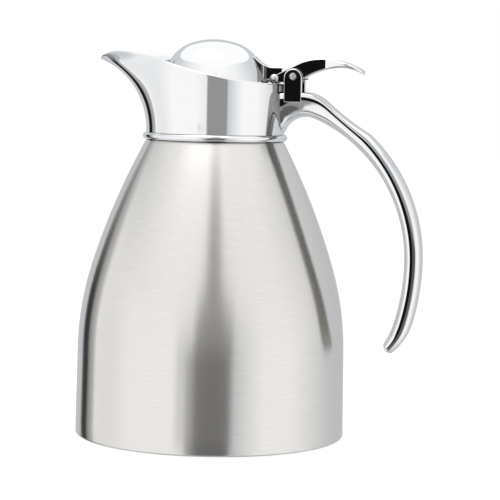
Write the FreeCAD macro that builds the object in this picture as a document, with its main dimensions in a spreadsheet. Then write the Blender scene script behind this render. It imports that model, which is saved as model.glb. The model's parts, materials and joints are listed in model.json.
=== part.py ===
import FreeCAD, Part
import math
import os
import re

import Sketcher
from FreeCAD import Placement, Rotation, Vector

# A double-walled coffee server: a brushed body on a round foot, a bright collar with a pouring lip,
# a handle that hangs free at its lower end, and a domed lid that a thumb lever swings up about a hinge
# between two ears.
# The origin is the middle of the foot on the table, +Z is up, the handle is at +X and the lip at -X.
# Lengths are in millimetres and angles in degrees.

LEFT = "left"
RIGHT = "right"

SIZES = {
    # Outer shell
    "foot_radius": 68.0,
    "foot_lift": 0.5,
    "foot_edge": 1.2,
    "foot_lip": 9.0,
    "shell_wall": 0.8,
    "body_draft": 0.81,
    "belly_height": 44.65,
    "belly_curve": 149.3,
    "waist_height": 86.0,
    "shoulder_radius": 34.65,
    "shoulder_height": 149.3,
    "neck_step": 3.65,
    "neck_height": 17.9,
    # Inner flask and the closed foot
    "vacuum_gap": 8.2,
    "flask_wall": 0.8,
    "mouth_radius": 21.5,
    "throat_length": 4.557,
    "flask_floor": 10.0,
    "flask_corner": 6.0,
    "plate_wall": 0.8,
    "plate_gap": 0.5,
    "pad_gap": 0.4,
    "pad_edge": 0.4,
    "seal_radius": 3.0,
    "seal_depth": 2.2,
    "seal_fit": 0.05,
    "pump_hole": 1.0,
    "getter_length": 14.0,
    "getter_width": 5.0,
    "getter_thickness": 1.2,
    "getter_place": 24.0,
    # Collar, its lip and its basin floor: the rim's back is measured from the collar's lower edge,
    # the crest and the tip from the back, and the turn down from the crest
    "collar_wall": 1.5,
    "collar_gap": 0.3,
    "bead_radius": 1.7,
    "spout_rise": 4.4,
    "spout_reach": 59.9,
    "spout_tip_radius": 8.0,
    "tip_height": 10.9,
    "rim_crest_height": 15.1,
    "rim_crest_reach": 47.0,
    "rim_turn_height": 3.6,
    "rim_turn_reach": 25.0,
    "rim_back_height": 28.8,
    "gasket_thickness": 1.5,
    "gasket_margin": 1.2,
    "basin_floor": 1.8,
    "basin_step": 1.0,
    "seat_width": 2.0,
    "seat_height": 1.0,
    # Ring on the neck that the collar snaps over
    "ring_height": 10.5,
    "ring_lift": 1.5,
    "ring_fit": 0.05,
    "ring_gap": 0.2,
    "rib_depth": 0.5,
    "rib_height": 1.2,
    "rib_pitch": 4.6,
    "rib_gap": 0.15,
    # Handle: its grip is measured down from the pivot
    "handle_width": 18.0,
    "handle_depth": 9.0,
    "handle_round": 2.8,
    "handle_reach": 106.2,
    "handle_fit": 0.03,
    "grip_height": 90.8,
    "upper_curve": 84.7,
    "lower_curve": 118.4,
    "arch_curve": 11.3,
    "arch_toe": 0.25,
    "scoop_turn": 47.2,
    "bump_curve": 9.0,
    "bump_turn": 12.0,
    "knuckle_curve": 18.0,
    "knuckle_turn": 42.0,
    "tip_curve": 30.0,
    "tip_round": 3.2,
    "tip_lean": 35.0,
    "tip_inner_lean": 47.0,
    "tip_inner_turn": 17.0,
    "tip_outer_turn": 15.0,
    # Hinge ears and the pivot that runs between them, measured from the rim's back
    "pivot_reach": 39.9,
    "pivot_height": 4.0,
    "ear_half": 4.55,
    "ear_drop": 0.8,
    "ear_rise": 7.5,
    "slot_width": 12.4,
    "barrel_radius": 1.9,
    "barrel_fit": 0.05,
    "barrel_head_radius": 2.6,
    "barrel_bore": 1.05,
    "head_depth": 1.2,
    "head_sink": 0.25,
    "head_fit": 0.1,
    "hinge_screw_radius": 1.0,
    "hinge_screw_head": 1.8,
    "hinge_screw_length": 10.0,
    "hinge_screw_drive": 0.75,
    "hinge_screw_drive_depth": 0.6,
    # Countersunk screws that hold the handle
    "screw_spread": 3.6,
    "screw_sink": 0.3,
    "screw_lift": 3.2,
    "screw_radius": 1.5,
    "screw_head_radius": 2.8,
    "screw_head_height": 1.4,
    "screw_length": 10.0,
    "screw_fit": 0.08,
    # Lid dome and its tail: the foot is measured from the rim's back and the top from the foot
    "lid_shift": -1.0,
    "dome_top": 21.4,
    "dome_low": 0.2,
    "dome_wall": 1.2,
    "crown_curve": 36.0,
    "crown_radius": 12.0,
    "dome_shoulder_curve": 19.2,
    "flank_lean": 65.0,
    "boss_radius": 4.5,
    "boss_drop": 18.0,
    "pilot_depth": 10.0,
    "eye_radius": 4.4,
    "tail_width": 8.8,
    "tail_clearance": 0.8,
    "tail_blend_reach": 28.5,
    "tail_blend_curve": 13.3,
    "tail_root_reach": 19.5,
    "tail_root_rise": 5.4,
    "tail_sink": 5.0,
    "spring_clearance": 0.5,
    # Thumb lever, forked round the tail, with its heights measured from the pivot
    "fork_gap": 0.1,
    "lever_gap": 0.3,
    "nose_reach": 30.2,
    "nose_radius": 1.6,
    "heel_turn": 20.0,
    "lever_arch_reach": 63.5,
    "lever_arch_height": 4.7,
    "lever_tip_reach": 74.9,
    "lever_tip_height": 3.3,
    "lever_tip_depth": 1.5,
    "lever_top_reach": 54.0,
    "lever_top_height": 9.0,
    "lever_neck_reach": 43.5,
    "lever_neck_curve": 28.0,
    "leaf_start": 48.0,
    "leaf_reach": 61.0,
    "leaf_half": 8.0,
    "rivet_radius": 0.8,
    "rivet_head_radius": 2.3,
    "rivet_head_height": 0.9,
    "rivet_fit": 0.03,
    # Stopper under the dome
    "stopper_plate": 2.0,
    "stopper_hub": 6.0,
    "lid_screw_radius": 1.5,
    "lid_screw_fit": 0.05,
    "lid_screw_head": 2.8,
    "lid_screw_head_height": 1.8,
    "cup_depth": 12.6,
    "cup_top_radius": 20.3,
    "cup_low_radius": 18.5,
    "cup_wall": 1.5,
    "cup_edge": 2.0,
    "core_gap": 0.1,
    "seal_lip_width": 2.0,
    "seal_lip_clearance": 0.3,
    "seal_flange": 2.0,
    "seal_width": 4.8,
    # Torsion spring round the barrel
    "spring_wire": 0.65,
    "spring_radius": 2.75,
    "spring_pitch": 1.1,
    "spring_start": 0.4,
    "spring_lever_turn": 15.0,
    "spring_lever_leg": 6.2,
    "spring_floor_turn": 75.0,
    "spring_floor_gap": 0.1,
}

SPRING_COILS = 3
SPOUT_STEPS = 6
BASIN_STEPS = 3

# Sizes that follow from the driving ones, each a formula of them
WORKED = {
    # Outer shell: a drafted foot, then two arcs that run into each other without a corner
    "foot_start": "foot_lift + foot_edge",
    "belly_radius": "foot_radius - (belly_height - foot_start) * tan(body_draft)",
    "belly_mid_reach": "belly_radius - belly_curve * cos(body_draft)",
    "belly_mid_height": "belly_height - belly_curve * sin(body_draft)",
    "waist_lean": "asin((waist_height - belly_mid_height) / belly_curve)",
    "waist_radius": "belly_mid_reach + belly_curve * cos(waist_lean)",
    "shoulder_in": "shoulder_radius - waist_radius",
    "shoulder_up": "shoulder_height - waist_height",
    "shoulder_curve": "-(shoulder_in^2 + shoulder_up^2)"
                      " / (2 * (shoulder_in * cos(waist_lean) + shoulder_up * sin(waist_lean)))",
    "shoulder_mid_height": "waist_height - shoulder_curve * sin(waist_lean)",
    "shoulder_lean": "asin((shoulder_height - shoulder_mid_height) / shoulder_curve)",
    "neck_radius": "shoulder_radius - neck_step",
    "neck_top": "shoulder_height + neck_height",
    # Inner flask: the same line, set in by the wall and the gap
    "flask_inset": "shell_wall + vacuum_gap",
    "flask_foot": "flask_floor + flask_corner",
    "flask_foot_radius": "foot_radius - (flask_foot - foot_start) * tan(body_draft)"
                         " - flask_inset / cos(body_draft)",
    "throat_radius": "mouth_radius + flask_wall",
    "flare_radius": "shoulder_radius - flask_inset * cos(shoulder_lean)",
    "flare_height": "shoulder_height - flask_inset * sin(shoulder_lean)",
    "throat_height": "neck_top - throat_length",
    "flare_in": "flare_radius - throat_radius",
    "flare_up": "throat_height - flare_height",
    "flare_curve": "(flare_in^2 + flare_up^2) / (2 * flare_in)",
    "lip_top": "neck_top + flask_wall",
    "plate_low": "foot_lift + shell_wall",
    "plate_top": "plate_low + plate_wall",
    "seal_top": "plate_top + seal_depth - plate_wall",
    "pad_radius": "foot_radius - foot_lip - pad_gap",
    # Collar
    "collar_radius": "shoulder_radius",
    "collar_bore": "collar_radius - collar_wall",
    "collar_low": "shoulder_height + collar_gap",
    "bead_top": "collar_low + 2 * bead_radius",
    "rim_back": "collar_low + rim_back_height",
    "rim_crest": "rim_back + rim_crest_height",
    "rim_turn": "rim_crest - rim_turn_height",
    "lip_tip": "rim_back + tip_height",
    "spout_start": "shoulder_height + spout_rise",
    "spout_out": "spout_reach - collar_radius",
    "spout_up": "lip_tip - spout_start",
    "spout_sweep": "(spout_up^2 + spout_out^2) / (2 * spout_out)",
    "spout_top": "rim_crest + 2 * collar_wall",
    "floor_low": "lip_top + gasket_thickness",
    "floor_top": "floor_low + basin_floor",
    "basin_hole": "mouth_radius + basin_step",
    "seat_top": "floor_top + seat_height",
    # Rim seen from the side: the lip falls to its tip, and the rim sweeps down to the hinge
    "lip_run": "spout_reach - rim_crest_reach",
    "lip_fall": "rim_crest - lip_tip",
    "lip_curve": "(lip_run^2 + lip_fall^2) / (2 * lip_fall)",
    "rim_run": "rim_crest_reach - rim_turn_reach",
    "rim_fall": "rim_crest - rim_turn",
    "rim_curve": "(rim_run^2 + rim_fall^2) / (2 * rim_fall)",
    "rim_lean": "asin(rim_run / rim_curve)",
    "sweep_run": "rim_turn_reach + collar_radius",
    "sweep_fall": "rim_turn - rim_back",
    "rim_sweep": "(sweep_run^2 + sweep_fall^2)"
                 " / (2 * (sweep_run * sin(rim_lean) - sweep_fall * cos(rim_lean)))",
    # Ring on the neck
    "ring_low": "collar_low + ring_lift",
    "ring_top": "ring_low + ring_height",
    "ring_inner": "neck_radius + ring_fit",
    "ring_outer": "collar_bore - ring_gap",
    "rib_low": "ring_low + (ring_height - rib_pitch - rib_height) / 2",
    # Hinge and the heights that follow it
    "pivot_level": "rim_back + pivot_height",
    "grip_level": "pivot_level - grip_height",
    "dome_foot": "rim_back + dome_low",
    "dome_crest": "dome_foot + dome_top",
    "lever_arch": "pivot_level + lever_arch_height",
    "lever_tip": "pivot_level + lever_tip_height",
    "lever_top": "pivot_level + lever_top_height",
    # Handle
    "root_top": "pivot_level - ear_rise",
    "ear_back": "pivot_reach + ear_half",
    "upper_middle": "handle_reach - upper_curve",
    "lower_middle": "handle_reach - lower_curve",
    "upper_inner": "upper_curve - handle_depth",
    "lower_inner": "lower_curve - handle_depth",
    "arch_low": "bead_top + collar_gap",
    "arch_middle_reach": "collar_radius + arch_toe + arch_curve",
    "arch_turn": "acos((arch_middle_reach - upper_middle) / (upper_inner - arch_curve))",
    "arch_middle_height": "grip_level + (upper_inner - arch_curve) * sin(arch_turn)",
    "arch_start": "arch_middle_reach - sqrt(arch_curve^2 - (arch_low - arch_middle_height)^2)",
    "scoop_start_reach": "upper_middle + upper_curve * cos(scoop_turn)",
    "scoop_start_height": "grip_level + upper_curve * sin(scoop_turn)",
    "bump_chord": "2 * bump_curve * sin(bump_turn / 2)",
    "bump_lean": "90 + scoop_turn + bump_turn / 2",
    "scoop_end_reach": "scoop_start_reach + bump_chord * cos(bump_lean)",
    "scoop_end_height": "scoop_start_height + bump_chord * sin(bump_lean)",
    "knuckle_reach": "ear_back + knuckle_curve * sin(knuckle_turn)",
    "knuckle_height": "root_top - knuckle_curve * (1 - cos(knuckle_turn))",
    "scoop_run": "scoop_end_reach - knuckle_reach",
    "scoop_rise": "knuckle_height - scoop_end_height",
    "scoop_curve": "(scoop_run^2 + scoop_rise^2)"
                   " / (2 * (scoop_run * sin(knuckle_turn) - scoop_rise * cos(knuckle_turn)))",
    "tip_outer_reach": "lower_middle + lower_curve * cos(tip_outer_turn)",
    "tip_outer_height": "grip_level - lower_curve * sin(tip_outer_turn)",
    "tip_end_reach": "tip_outer_reach - tip_curve * (cos(tip_outer_turn) - sin(tip_lean))",
    "tip_end_height": "tip_outer_height + tip_curve * (sin(tip_outer_turn) - cos(tip_lean))",
    "tip_in_reach": "tip_end_reach - tip_round * (sin(tip_lean) + sin(tip_inner_lean))",
    "tip_in_height": "tip_end_height + tip_round * (cos(tip_lean) + cos(tip_inner_lean))",
    "tip_start_reach": "lower_middle + lower_inner * cos(tip_inner_turn)",
    "tip_start_height": "grip_level - lower_inner * sin(tip_inner_turn)",
    "tip_run": "tip_start_reach - tip_in_reach",
    "tip_fall": "tip_start_height - tip_in_height",
    "tip_inner_curve": "(tip_run^2 + tip_fall^2)"
                       " / (2 * (tip_run * cos(tip_inner_turn) - tip_fall * sin(tip_inner_turn)))",
    "root_reach": "collar_bore - collar_wall",
    "ear_front": "pivot_reach - ear_half",
    "ear_middle": "pivot_level - ear_drop",
    "ear_top": "ear_middle + ear_half",
    "ear_low": "root_top - handle_depth / 2 - handle_round / 2",
    "screw_height": "floor_low - screw_lift",
    "screw_face": "collar_bore - screw_sink",
    # Lid
    "crown_lean": "asin(crown_radius / crown_curve)",
    "crown_height": "dome_crest - crown_curve * (1 - cos(crown_lean))",
    "flank_radius": "crown_radius + dome_shoulder_curve * (sin(flank_lean) - sin(crown_lean))",
    "flank_height": "crown_height - dome_shoulder_curve * (cos(crown_lean) - cos(flank_lean))",
    "dome_radius": "flank_radius + (flank_height - dome_foot) / tan(flank_lean)",
    "boss_low": "dome_crest - boss_drop",
    "boss_top": "dome_crest - crown_curve + sqrt((crown_curve - dome_wall)^2 - boss_radius^2)",
    "tail_low": "rim_back + tail_clearance",
    "tail_top": "pivot_level + eye_radius",
    "eye_meet": "pivot_reach - sqrt(eye_radius^2 - (pivot_level - tail_low)^2)",
    # Lever
    "fork_half": "slot_width / 2 - lever_gap",
    "fork_slot": "tail_width / 2 + fork_gap",
    "nose_height": "tail_low + nose_radius",
    "lever_run": "lever_tip_reach - lever_top_reach",
    "lever_fall": "lever_top - lever_tip",
    "lever_curve": "(lever_run^2 + lever_fall^2) / (2 * lever_fall)",
    "lever_neck_height": "lever_top - lever_neck_curve"
                         " + sqrt(lever_neck_curve^2 - (lever_top_reach - lever_neck_reach)^2)",
    "heel_reach": "pivot_reach + eye_radius * cos(heel_turn)",
    "heel_height": "pivot_level - eye_radius * sin(heel_turn)",
    "arch_run": "lever_arch_reach - heel_reach",
    "arch_rise": "lever_arch - heel_height",
    "lever_arch_curve": "(arch_run^2 + arch_rise^2) / (2 * arch_rise)",
    "toe_run": "lever_tip_reach - lever_tip_depth / 2 - lever_arch_reach",
    "toe_fall": "lever_arch - lever_tip + lever_tip_depth",
    "toe_curve": "(toe_run^2 + toe_fall^2) / (2 * toe_fall)",
    "diagonal_run": "lever_neck_reach - nose_reach",
    "diagonal_rise": "lever_neck_height - nose_height",
    "diagonal_length": "sqrt(diagonal_run^2 + diagonal_rise^2)",
    "diagonal_lean": "atan(diagonal_rise / diagonal_run) - asin(nose_radius / diagonal_length)",
    # Stopper
    "plate_under": "dome_foot - stopper_plate",
    "cup_low": "plate_under - cup_depth",
    "cup_taper": "(cup_top_radius - cup_low_radius) / (cup_depth - cup_edge)",
    "core_low": "cup_low + cup_wall",
    "core_top": "plate_under - lid_screw_head_height - core_gap",
    "core_low_radius": "cup_low_radius - cup_wall - core_gap",
    "core_top_radius": "core_low_radius + cup_taper * (core_top - core_low - cup_edge + cup_wall)",
    "seal_inner": "cup_top_radius + core_gap",
    "seal_outer": "seal_inner + seal_width",
    "seal_low": "seat_top + seal_lip_clearance",
    "seal_lip_inner": "seal_outer - seal_lip_width - core_gap",
}


def spout_levels(first, steps):
    """Names of the levels at which the collar wall is drawn, worked out from a first height up to the tip."""
    names = []
    for step in range(steps + 1):
        name = f"{first}_level_{step}"
        WORKED[f"{name}_height"] = f"{first} + (lip_tip - {first}) * {step} / {steps}"
        climb = f"({name}_height - spout_start)"
        WORKED[f"{name}_reach"] = f"collar_radius + spout_sweep - sqrt(spout_sweep^2 - {climb}^2)"
        WORKED[f"{name}_nose"] = f"collar_radius - (collar_radius - spout_tip_radius) * {climb} / spout_up"
        names.append(name)
    name = f"{first}_level_top"
    WORKED[f"{name}_height"] = "spout_top"
    WORKED[f"{name}_reach"] = "spout_reach + (spout_top - lip_tip) * spout_up / (spout_sweep - spout_out)"
    WORKED[f"{name}_nose"] = "spout_tip_radius"
    names.append(name)
    for name in reversed(names):
        WORKED[f"{name}_middle"] = f"{name}_reach - {name}_nose"
        WORKED[f"{name}_lean"] = f"acos((collar_radius - {name}_nose) / {name}_middle)"
    return names


WALL_LEVELS = spout_levels("spout_start", SPOUT_STEPS)
BASIN_LEVELS = spout_levels("floor_top", BASIN_STEPS)
# The lowest level of the wall is a plain circle, cut at the same places as the level above it
WORKED[f"{WALL_LEVELS[0]}_lean"] = f"{WALL_LEVELS[1]}_lean"

doc = FreeCAD.newDocument("coffee_server")
sizes = doc.addObject("Spreadsheet::Sheet", "sizes")
worked = doc.addObject("Spreadsheet::Sheet", "worked")
HOLDER = {}
for name in SIZES:
    HOLDER[name] = "sizes."
for name in WORKED:
    HOLDER[name] = "worked."


def bound(formula):
    """The formula with each size's name pointed at the sheet that holds it."""
    return re.sub(r"[a-z_][a-z_0-9]*", lambda word: HOLDER.get(word.group(), "") + word.group(), formula)


def fill_sheet(sheet, cells):
    """Write names and contents into a sheet, one row each."""
    for row, (name, content) in enumerate(cells.items(), start=1):
        sheet.set(f"A{row}", name)
        sheet.set(f"B{row}", content)
        sheet.setAlias(f"B{row}", name)


fill_sheet(sizes, {name: str(value) for name, value in SIZES.items()})
fill_sheet(worked, {name: "=" + bound(formula) for name, formula in WORKED.items()})
doc.recompute()


def number(formula):
    """The present value of a formula."""
    value = worked.evalExpression(bound(formula))
    return float(getattr(value, "Value", value))


def new_body(label, reach="0", side="0", height="0"):
    """A body for one piece, placed by three formulas."""
    body = doc.addObject("PartDesign::Body", label)
    body.Label = label
    for axis, formula in zip("xyz", (reach, side, height)):
        body.setExpression(f"Placement.Base.{axis}", bound(formula))
    return body


def sketch_on(body, name, role, lift=None):
    """A sketch on one of the body's own planes, raised along the plane's normal by a formula."""
    plane = next(feature for feature in body.Origin.OriginFeatures if feature.Role == role)
    sketch = body.newObject("Sketcher::SketchObject", name)
    sketch.AttachmentSupport = [(plane, "")]
    sketch.MapMode = "FlatFace"
    if lift:
        sketch.setExpression("AttachmentOffset.Base.z", bound(lift))
    return sketch


def hold(sketch, kind, formula, value, *points):
    """Add a measured constraint and bind it to its formula."""
    index = sketch.addConstraint(Sketcher.Constraint(kind, *points, value))
    sketch.setExpression(f"Constraints[{index}]", bound(formula))


def hold_point(sketch, edge, end, across, up):
    """Hold an edge's end at two formulas, or on an axis where a formula is 0."""
    for kind, formula, axis in (("DistanceX", across, -2), ("DistanceY", up, -1)):
        if formula == "0":
            sketch.addConstraint(Sketcher.Constraint("PointOnObject", edge, end, axis))
        else:
            hold(sketch, kind, formula, number(formula), -1, 1, edge, end)


def arc_between(start, finish, radius, side):
    """The arc under a half circle between two points, with its middle to the left or right of the way."""
    way = finish - start
    rise = math.sqrt(radius ** 2 - (way.Length / 2) ** 2)
    across = Vector(-way.y, way.x, 0).normalize()
    middle = (start + finish) / 2 + across * (rise if side == LEFT else -rise)
    first, last = (start, finish) if side == LEFT else (finish, start)
    circle = Part.Circle(middle, Vector(0, 0, 1), radius)
    return Part.ArcOfCircle(circle, circle.parameter(first), circle.parameter(last))


def draw(sketch, corners):
    """Draw a closed outline through its corners.

    A corner is two formulas. A side and a radius after them make the stretch to the next corner an arc.
    """
    base = sketch.GeometryCount
    points = [Vector(number(corner[0]), number(corner[1]), 0) for corner in corners]
    ends = []
    for index, corner in enumerate(corners):
        start = points[index]
        finish = points[(index + 1) % len(corners)]
        if len(corner) == 2:
            sketch.addGeometry(Part.LineSegment(start, finish))
            ends.append((1, 2))
        else:
            sketch.addGeometry(arc_between(start, finish, number(corner[3]), corner[2]))
            ends.append((1, 2) if corner[2] == LEFT else (2, 1))
    for index, corner in enumerate(corners):
        after = (index + 1) % len(corners)
        sketch.addConstraint(Sketcher.Constraint("Coincident", base + index, ends[index][1],
                                                 base + after, ends[after][0]))
        hold_point(sketch, base + index, ends[index][0], corner[0], corner[1])
        if len(corner) == 4:
            hold(sketch, "Radius", corner[3], number(corner[3]), base + index)


def draw_circle(sketch, across, up, radius):
    """Draw a full circle at two formulas."""
    middle = Vector(number(across), number(up), 0)
    edge = sketch.addGeometry(Part.Circle(middle, Vector(0, 0, 1), number(radius)))
    hold_point(sketch, edge, 3, across, up)
    hold(sketch, "Radius", radius, number(radius), edge)


def turned(body, name, kind, corners, role="XZ_Plane", axis="V_Axis"):
    """Turn a half section once round an axis of its sketch, to add or to cut."""
    sketch = sketch_on(body, f"{name}_section", role)
    draw(sketch, corners)
    feature = body.newObject(f"PartDesign::{kind}", name)
    feature.Profile = sketch
    feature.ReferenceAxis = (sketch, [axis])
    feature.Angle = 360
    return feature


def pushed(body, name, kind, sketch, length, symmetric=True, reverse=False):
    """Push an outline along its normal by a formula, to add (Pad) or to cut (Pocket)."""
    feature = body.newObject(f"PartDesign::{kind}", name)
    feature.Profile = sketch
    feature.SideType = "Symmetric" if symmetric else "One side"
    feature.Reversed = reverse
    feature.setExpression("Length", bound(length))
    return feature


def rounded(body, name, base, radius, wanted):
    """Round the edges of a feature that a test picks out."""
    doc.recompute()
    edges = [f"Edge{index}" for index, edge in enumerate(base.Shape.Edges, start=1) if wanted(edge)]
    feature = body.newObject("PartDesign::Fillet", name)
    feature.Base = (base, edges)
    feature.setExpression("Radius", bound(radius))
    return feature


def on_side_face(edge, half_width):
    """Whether an edge lies wholly in one of the two side faces."""
    box = edge.BoundBox
    flat = box.YLength < half_width / 1000
    return flat and abs(abs(box.YMin) - half_width) < half_width / 1000


# Outer shell: the wall with its foot turned in and its neck above the shoulder
def build_outer_shell():
    body = new_body("outer_shell")
    turned(body, "shell_wall_turned", "Revolution", [
        ("foot_radius - foot_lip", "foot_lift"),
        ("foot_radius - foot_edge", "foot_lift", LEFT, "foot_edge"),
        ("foot_radius", "foot_start"),
        ("belly_radius", "belly_height", LEFT, "belly_curve"),
        ("waist_radius", "waist_height", LEFT, "shoulder_curve"),
        ("shoulder_radius", "shoulder_height"),
        ("neck_radius", "shoulder_height + shell_wall / 2"),
        ("neck_radius", "neck_top"),
        ("neck_radius - shell_wall", "neck_top"),
        ("neck_radius - shell_wall", "shoulder_height - shell_wall / 2"),
        ("shoulder_radius - shell_wall * cos(shoulder_lean)",
         "shoulder_height - shell_wall * sin(shoulder_lean)", RIGHT, "shoulder_curve - shell_wall"),
        ("waist_radius - shell_wall * cos(waist_lean)", "waist_height - shell_wall * sin(waist_lean)",
         RIGHT, "belly_curve - shell_wall"),
        ("belly_radius - shell_wall * cos(body_draft)", "belly_height - shell_wall * sin(body_draft)"),
        ("foot_radius - shell_wall", "foot_start"),
        ("foot_radius - shell_wall", "plate_low"),
        ("foot_radius - foot_lip", "plate_low"),
    ])
    return body


# Inner flask: the same line set in by the vacuum gap, flared into the neck, its lip turned out at the mouth
def build_inner_flask():
    body = new_body("inner_flask")
    deep = "(flask_inset + flask_wall)"
    turned(body, "flask_wall_turned", "Revolution", [
        ("flask_foot_radius", "flask_foot"),
        ("belly_radius - flask_inset * cos(body_draft)", "belly_height - flask_inset * sin(body_draft)",
         LEFT, "belly_curve - flask_inset"),
        ("waist_radius - flask_inset * cos(waist_lean)", "waist_height - flask_inset * sin(waist_lean)",
         LEFT, "shoulder_curve - flask_inset"),
        ("flare_radius", "flare_height", RIGHT, "flare_curve"),
        ("throat_radius", "throat_height"),
        ("throat_radius", "neck_top"),
        ("neck_radius", "neck_top"),
        ("neck_radius", "lip_top"),
        ("mouth_radius", "lip_top"),
        ("mouth_radius", "throat_height", LEFT, "flare_curve + flask_wall"),
        (f"shoulder_radius - {deep} * cos(shoulder_lean)", f"shoulder_height - {deep} * sin(shoulder_lean)",
         RIGHT, f"shoulder_curve - {deep}"),
        (f"waist_radius - {deep} * cos(waist_lean)", f"waist_height - {deep} * sin(waist_lean)",
         RIGHT, f"belly_curve - {deep}"),
        (f"belly_radius - {deep} * cos(body_draft)", f"belly_height - {deep} * sin(body_draft)"),
        ("flask_foot_radius - flask_wall", "flask_foot"),
    ])
    return body


# Flask bottom: a shallow dish welded to the inner wall
def build_flask_bottom():
    body = new_body("flask_bottom")
    turned(body, "dish", "Revolution", [
        ("0", "flask_floor"),
        ("flask_foot_radius - flask_corner", "flask_floor", LEFT, "flask_corner"),
        ("flask_foot_radius", "flask_foot"),
        ("flask_foot_radius - flask_wall", "flask_foot", RIGHT, "flask_corner - flask_wall"),
        ("flask_foot_radius - flask_corner", "flask_floor + flask_wall"),
        ("0", "flask_floor + flask_wall"),
    ])
    return body


# Base plate: closes the foot, with a pocket round the pumping hole
def build_base_plate():
    body = new_body("base_plate")
    turned(body, "disc", "Revolution", [
        ("seal_radius", "plate_low"),
        ("foot_radius - shell_wall - plate_gap", "plate_low"),
        ("foot_radius - shell_wall - plate_gap", "plate_top"),
        ("seal_radius + plate_wall", "plate_top"),
        ("seal_radius + plate_wall", "seal_top + plate_wall"),
        ("pump_hole", "seal_top + plate_wall"),
        ("pump_hole", "seal_top"),
        ("seal_radius", "seal_top"),
    ])
    return body


# Vacuum seal: a solder plug in the pocket, with a nib in the pumping hole
def build_vacuum_seal():
    body = new_body("vacuum_seal")
    turned(body, "plug", "Revolution", [
        ("0", "plate_low + seal_fit"),
        ("seal_radius - seal_fit", "plate_low + seal_fit"),
        ("seal_radius - seal_fit", "seal_top"),
        ("pump_hole - seal_fit", "seal_top"),
        ("pump_hole - seal_fit", "seal_top + plate_wall / 2"),
        ("0", "seal_top + plate_wall / 2"),
    ])
    return body


# Getter: a strip welded to the base plate inside the vacuum
def build_getter():
    strip = doc.addObject("Part::Box", "getter")
    strip.Label = "getter"
    strip.setExpression("Length", bound("getter_length"))
    strip.setExpression("Width", bound("getter_width"))
    strip.setExpression("Height", bound("getter_thickness"))
    strip.setExpression("Placement.Base.x", bound("getter_place"))
    strip.setExpression("Placement.Base.y", bound("-getter_width / 2"))
    strip.setExpression("Placement.Base.z", bound("plate_top"))
    return strip


# Base pad: the soft disc that the server stands on, a little proud of the foot
def build_base_pad():
    body = new_body("base_pad")
    turned(body, "pad_disc", "Revolution", [
        ("0", "0"),
        ("pad_radius - pad_edge", "0"),
        ("pad_radius", "pad_edge"),
        ("pad_radius", "plate_low"),
        ("0", "plate_low"),
    ])
    return body


# Mouth gasket: a flat ring between the flask's lip and the collar's floor
def build_mouth_gasket():
    body = new_body("mouth_gasket")
    turned(body, "flat_ring", "Revolution", [
        ("throat_radius + gasket_margin", "lip_top"),
        ("neck_radius - gasket_margin", "lip_top"),
        ("neck_radius - gasket_margin", "floor_low"),
        ("throat_radius + gasket_margin", "floor_low"),
    ])
    return body


def ring_steps(low, reach, out, clearance):
    """The two ribs of the neck ring, or their grooves, from the bottom up, as corners at a reach."""
    corners = []
    for rib in range(2):
        start = f"{low} + rib_pitch * {rib}"
        corners.append((reach, f"{start} - {clearance}"))
        corners.append((out, f"{start} - {clearance}"))
        corners.append((out, f"{start} + rib_height + {clearance}"))
        corners.append((reach, f"{start} + rib_height + {clearance}"))
    return corners


# Neck ring: pressed on the neck, with two ribs that the collar snaps over
def build_neck_ring():
    body = new_body("neck_ring")
    ribs = ring_steps("rib_low", "ring_outer", "collar_bore + rib_depth - ring_gap", "0 * rib_gap")
    turned(body, "ribbed_ring", "Revolution", [
        ("ring_inner", "ring_low"),
        ("ring_outer", "ring_low"),
        *ribs,
        ("ring_outer", "ring_top"),
        ("ring_inner", "ring_top"),
    ])
    return body


def wall_outline(sketch, level, inset, circle):
    """One level of the collar wall: a round back, straight sides that touch it, and a round nose."""
    wide = f"(collar_radius - {inset})"
    nose = f"({level}_nose - {inset})"
    lean = f"{level}_lean"
    back = (f"-{wide} * cos({lean})", f"{wide} * sin({lean})")
    if circle:
        front = (f"-{wide} * cos({lean} * 0.85)", f"{wide} * sin({lean} * 0.85)")
        side = (LEFT, wide)
        nose = wide
    else:
        front = (f"-{level}_middle - {nose} * cos({lean})", f"{nose} * sin({lean})")
        side = ()
    draw(sketch, [
        (wide, "0", LEFT, wide),
        ("0", wide, LEFT, wide),
        (*back, *side),
        (*front, LEFT, nose),
        (f"-{level}_reach + {inset}", "0", LEFT, nose),
        (front[0], f"-({front[1]})", *side),
        (back[0], f"-({back[1]})", LEFT, wide),
        ("0", f"-{wide}", LEFT, wide),
    ])


def lofted(body, name, kind, levels, inset, round_start):
    """Run the collar wall up through its levels, to add or to cut."""
    sketches = []
    for level in levels:
        sketch = sketch_on(body, f"{name}_{level}", "XY_Plane", f"{level}_height")
        wall_outline(sketch, level, inset, round_start and level == levels[0])
        sketches.append(sketch)
    feature = body.newObject(f"PartDesign::{kind}", name)
    feature.Profile = sketches[0]
    feature.Sections = sketches[1:]
    return feature


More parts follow.
